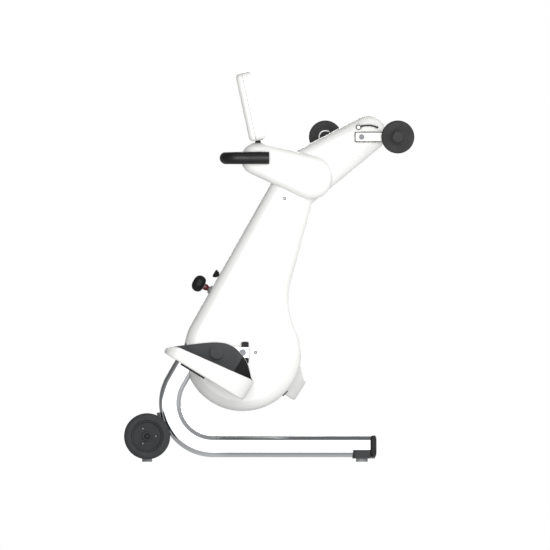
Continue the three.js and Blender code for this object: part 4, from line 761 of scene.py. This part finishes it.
for label, side in bothSides:
    body = f"wheel_{label}"
    tyreMesh = latheMesh(f"tyre_{label}", tyreProfile, wheel["centre"], side)
    addPiece(f"tyre_{label}", tyreMesh, tyreRubber, body, [f"wheel_tyre_{label}"], angle=40)
    hubMesh = latheMesh(f"hub_{label}", hubProfile, wheel["centre"], side)
    addPiece(f"hub_{label}", hubMesh, hubPlastic, body, [f"wheel_hub_{label}"], angle=30)
    for k, turn in enumerate(wheel["screwTurns"]):
        angle = math.radians(turn)
        spot = (wheel["centre"][0] + wheel["screwCircle"] * math.cos(angle),
                wheel["centre"][1] + wheel["screwCircle"] * math.sin(angle))
        screwMesh = latheMesh(f"hub_screw_{label}_{k}", fillet(wheel["screw"], wheel["screwRounding"]),
                              spot, side, 24)
        addPiece(f"hub_screw_{label}_{k}", screwMesh, boltSteel, body, angle=30)
    axleCap = latheMesh(f"axle_cap_{label}", fillet(wheel["axleCap"], wheel["capRounding"]),
                        wheel["centre"], side, 32)
    addPiece(f"axle_cap_{label}", axleCap, blackPlastic, "base", angle=30)
print("wheels made")

shellScrew = {"places": [(44.8, 763.6), (-39.3, 317.0)],
              "profile": [(0, 70), (4.4, 70), (4.4, 75.2), (3.4, 75.6), (2.2, 75.6), (2.0, 74.2),
                          (0, 74.2)], "rounding": 0.3}
for place in shellScrew["places"]:
    for label, side in bothSides:
        name = f"shell_screw_{round(place[1])}_{label}"
        screwMesh = latheMesh(name, fillet(shellScrew["profile"], shellScrew["rounding"]), place, side, 32)
        addPiece(name, screwMesh, blackPlastic, "base", angle=30)
print("shell screws made")

cadFinishes = {
    "end_cap_left": blackPlastic, "end_cap_right": blackPlastic, "end_shoe_left": greyPlastic,
    "end_shoe_right": greyPlastic, "wheel_beam": powderCoat, "wheel_foot_left": footRubber,
    "wheel_foot_right": footRubber, "inner_frame": castAluminium, "leg_motor": castAluminium,
    "arm_motor": castAluminium, "leg_belt": blackPlastic, "arm_belt": blackPlastic,
    "power_supply": castAluminium, "control_board": boardGreen, "power_inlet": blackPlastic,
    "display_neck": blackPlastic, "leg_axle": boltSteel, "leg_crank_left": brightAluminium,
    "leg_crank_right": brightAluminium, "leg_clamp_left": blackPlastic, "leg_clamp_right": blackPlastic,
    "pedal_pin_left": zincSteel, "pedal_pin_right": zincSteel, "leg_pulley": castAluminium,
    "soleplate_left": blackPlastic, "soleplate_right": blackPlastic, "leg_motor_pulley": zincSteel,
    "arm_axle": boltSteel, "arm_crank_left": blackPlastic, "arm_crank_right": blackPlastic,
    "arm_cover_left": whiteAbs, "arm_cover_right": whiteAbs, "arm_pulley": castAluminium,
    "arm_motor_pulley": zincSteel, "arm_lever_left": blackPlastic, "arm_lever_right": blackPlastic,
}
cadEdges = {"crank": 2.0, "other": 0.7}
for name, material in cadFinishes.items():
    node = finishNode(name, material)
    smoothed(node.data, 40)
    bevel = node.modifiers.new("edge", "BEVEL")
    bevel.width = cadEdges["crank" if name.startswith("leg_crank") else "other"] * millimetre
    bevel.segments = 2
    bevel.limit_method = "ANGLE"
    bevel.angle_limit = math.radians(50)


def secondFinish(name, material, chosen):  # a moulded-on part of the same piece in another colour
    node = nodes[name]
    node.data.materials.append(material)
    for face in node.data.polygons:
        centre = node.matrix_world @ face.center / millimetre
        face.material_index = 1 if chosen(centre) else 0


padTop = 13.0  # under the end shoes, the pad ends at this height
earStart = 16.0  # the arm crank is black, with white ears from this far above and below its axle
for label in ("left", "right"):
    secondFinish(f"end_shoe_{label}", footRubber, lambda centre: centre.z < padTop)
    secondFinish(f"arm_crank_{label}", whiteAbs, lambda centre: abs(centre.z - armAxle[1]) > earStart)
print("CAD pieces finished")


def areaLight(name, at, toward, size, power):
    data = bpy.data.lights.new(name, "AREA")
    data.shape = "RECTANGLE"
    data.size, data.size_y = size
    data.energy = power
    light = bpy.data.objects.new(name, data)
    light.location = at
    light.rotation_euler = (Vector(toward) - Vector(at)).to_track_quat("-Z", "Y").to_euler()
    scene.collection.objects.link(light)
    return light


# These pieces are left out of the light, and all others keep it
def keepOff(light, pieceNames):
    others = bpy.data.collections.new(light.name + "Others")
    for pieceName in pieceNames:
        others.objects.link(bpy.data.objects[pieceName])
    for entry in others.collection_objects:
        entry.light_linking.link_state = "EXCLUDE"
    light.light_linking.receiver_collection = others


# What lights the trainer and is mirrored in it gets brighter to the right and towards the floor
surround = {"level": 0.4, "lean": (0.2, 0.0, -0.19)}
world = bpy.data.worlds.new("whiteStudio")
scene.world = world
world.use_nodes = True
tree = world.node_tree
background = tree.nodes["Background"]
background.inputs["Color"].default_value = (1, 1, 1, 1)
around = addNode(tree, "ShaderNodeTexCoord")
lean = addNode(tree, "ShaderNodeVectorMath", {0: around.outputs["Generated"]}, operation="DOT_PRODUCT")
lean.inputs[1].default_value = surround["lean"]
level = addNode(tree, "ShaderNodeMath", {0: lean.outputs["Value"]}, operation="ADD")
level.inputs[1].default_value = surround["level"]
tree.links.new(level.outputs["Value"], background.inputs["Strength"])
# The camera itself sees plain white behind it
seen = addNode(tree, "ShaderNodeBackground", Color=(1, 1, 1, 1), Strength=1.0)
path = addNode(tree, "ShaderNodeLightPath")
mix = addNode(tree, "ShaderNodeMixShader", {0: path.outputs["Is Camera Ray"],
                                            1: background.outputs["Background"],
                                            2: seen.outputs["Background"]})
tree.links.new(mix.outputs["Shader"], tree.nodes["World Output"].inputs["Surface"])
# Places and sizes of the lights in metres, powers in watts
studioLights = {
    "frontPanel": {"at": (0.2, -4.0, 1.2), "toward": (0.2, 0, 1.2), "size": (3.0, 3.0), "power": 122},
    "rightFill": {"at": (3.4, -1.2, 2.0), "toward": (0, 0, 0.5), "size": (2.0, 2.0), "power": 32},
    "topStrip": {"at": (0.0, -2.2, 3.9), "toward": (0, 0, 0.5), "size": (3.0, 0.5), "power": 6},
    "lowBoard": {"at": (-1.7, -4.05, -0.05), "toward": (-1.7, 0, -0.05), "size": (4.4, 0.94),
                 "power": 17.6},
    "backFill": {"at": (0.6, 4.0, 1.8), "toward": (0, 0, 0.6), "size": (3.0, 3.0), "power": 130},
}
# Mirrored in the chrome, these two would break its dark edge lines
offTheRails = ("frontPanel", "rightFill")
for name, values in studioLights.items():
    light = areaLight(name, **values)
    if name in offTheRails:
        keepOff(light, ["rail_left", "rail_right"])
print("lights set")
scene.view_settings.view_transform = "Standard"
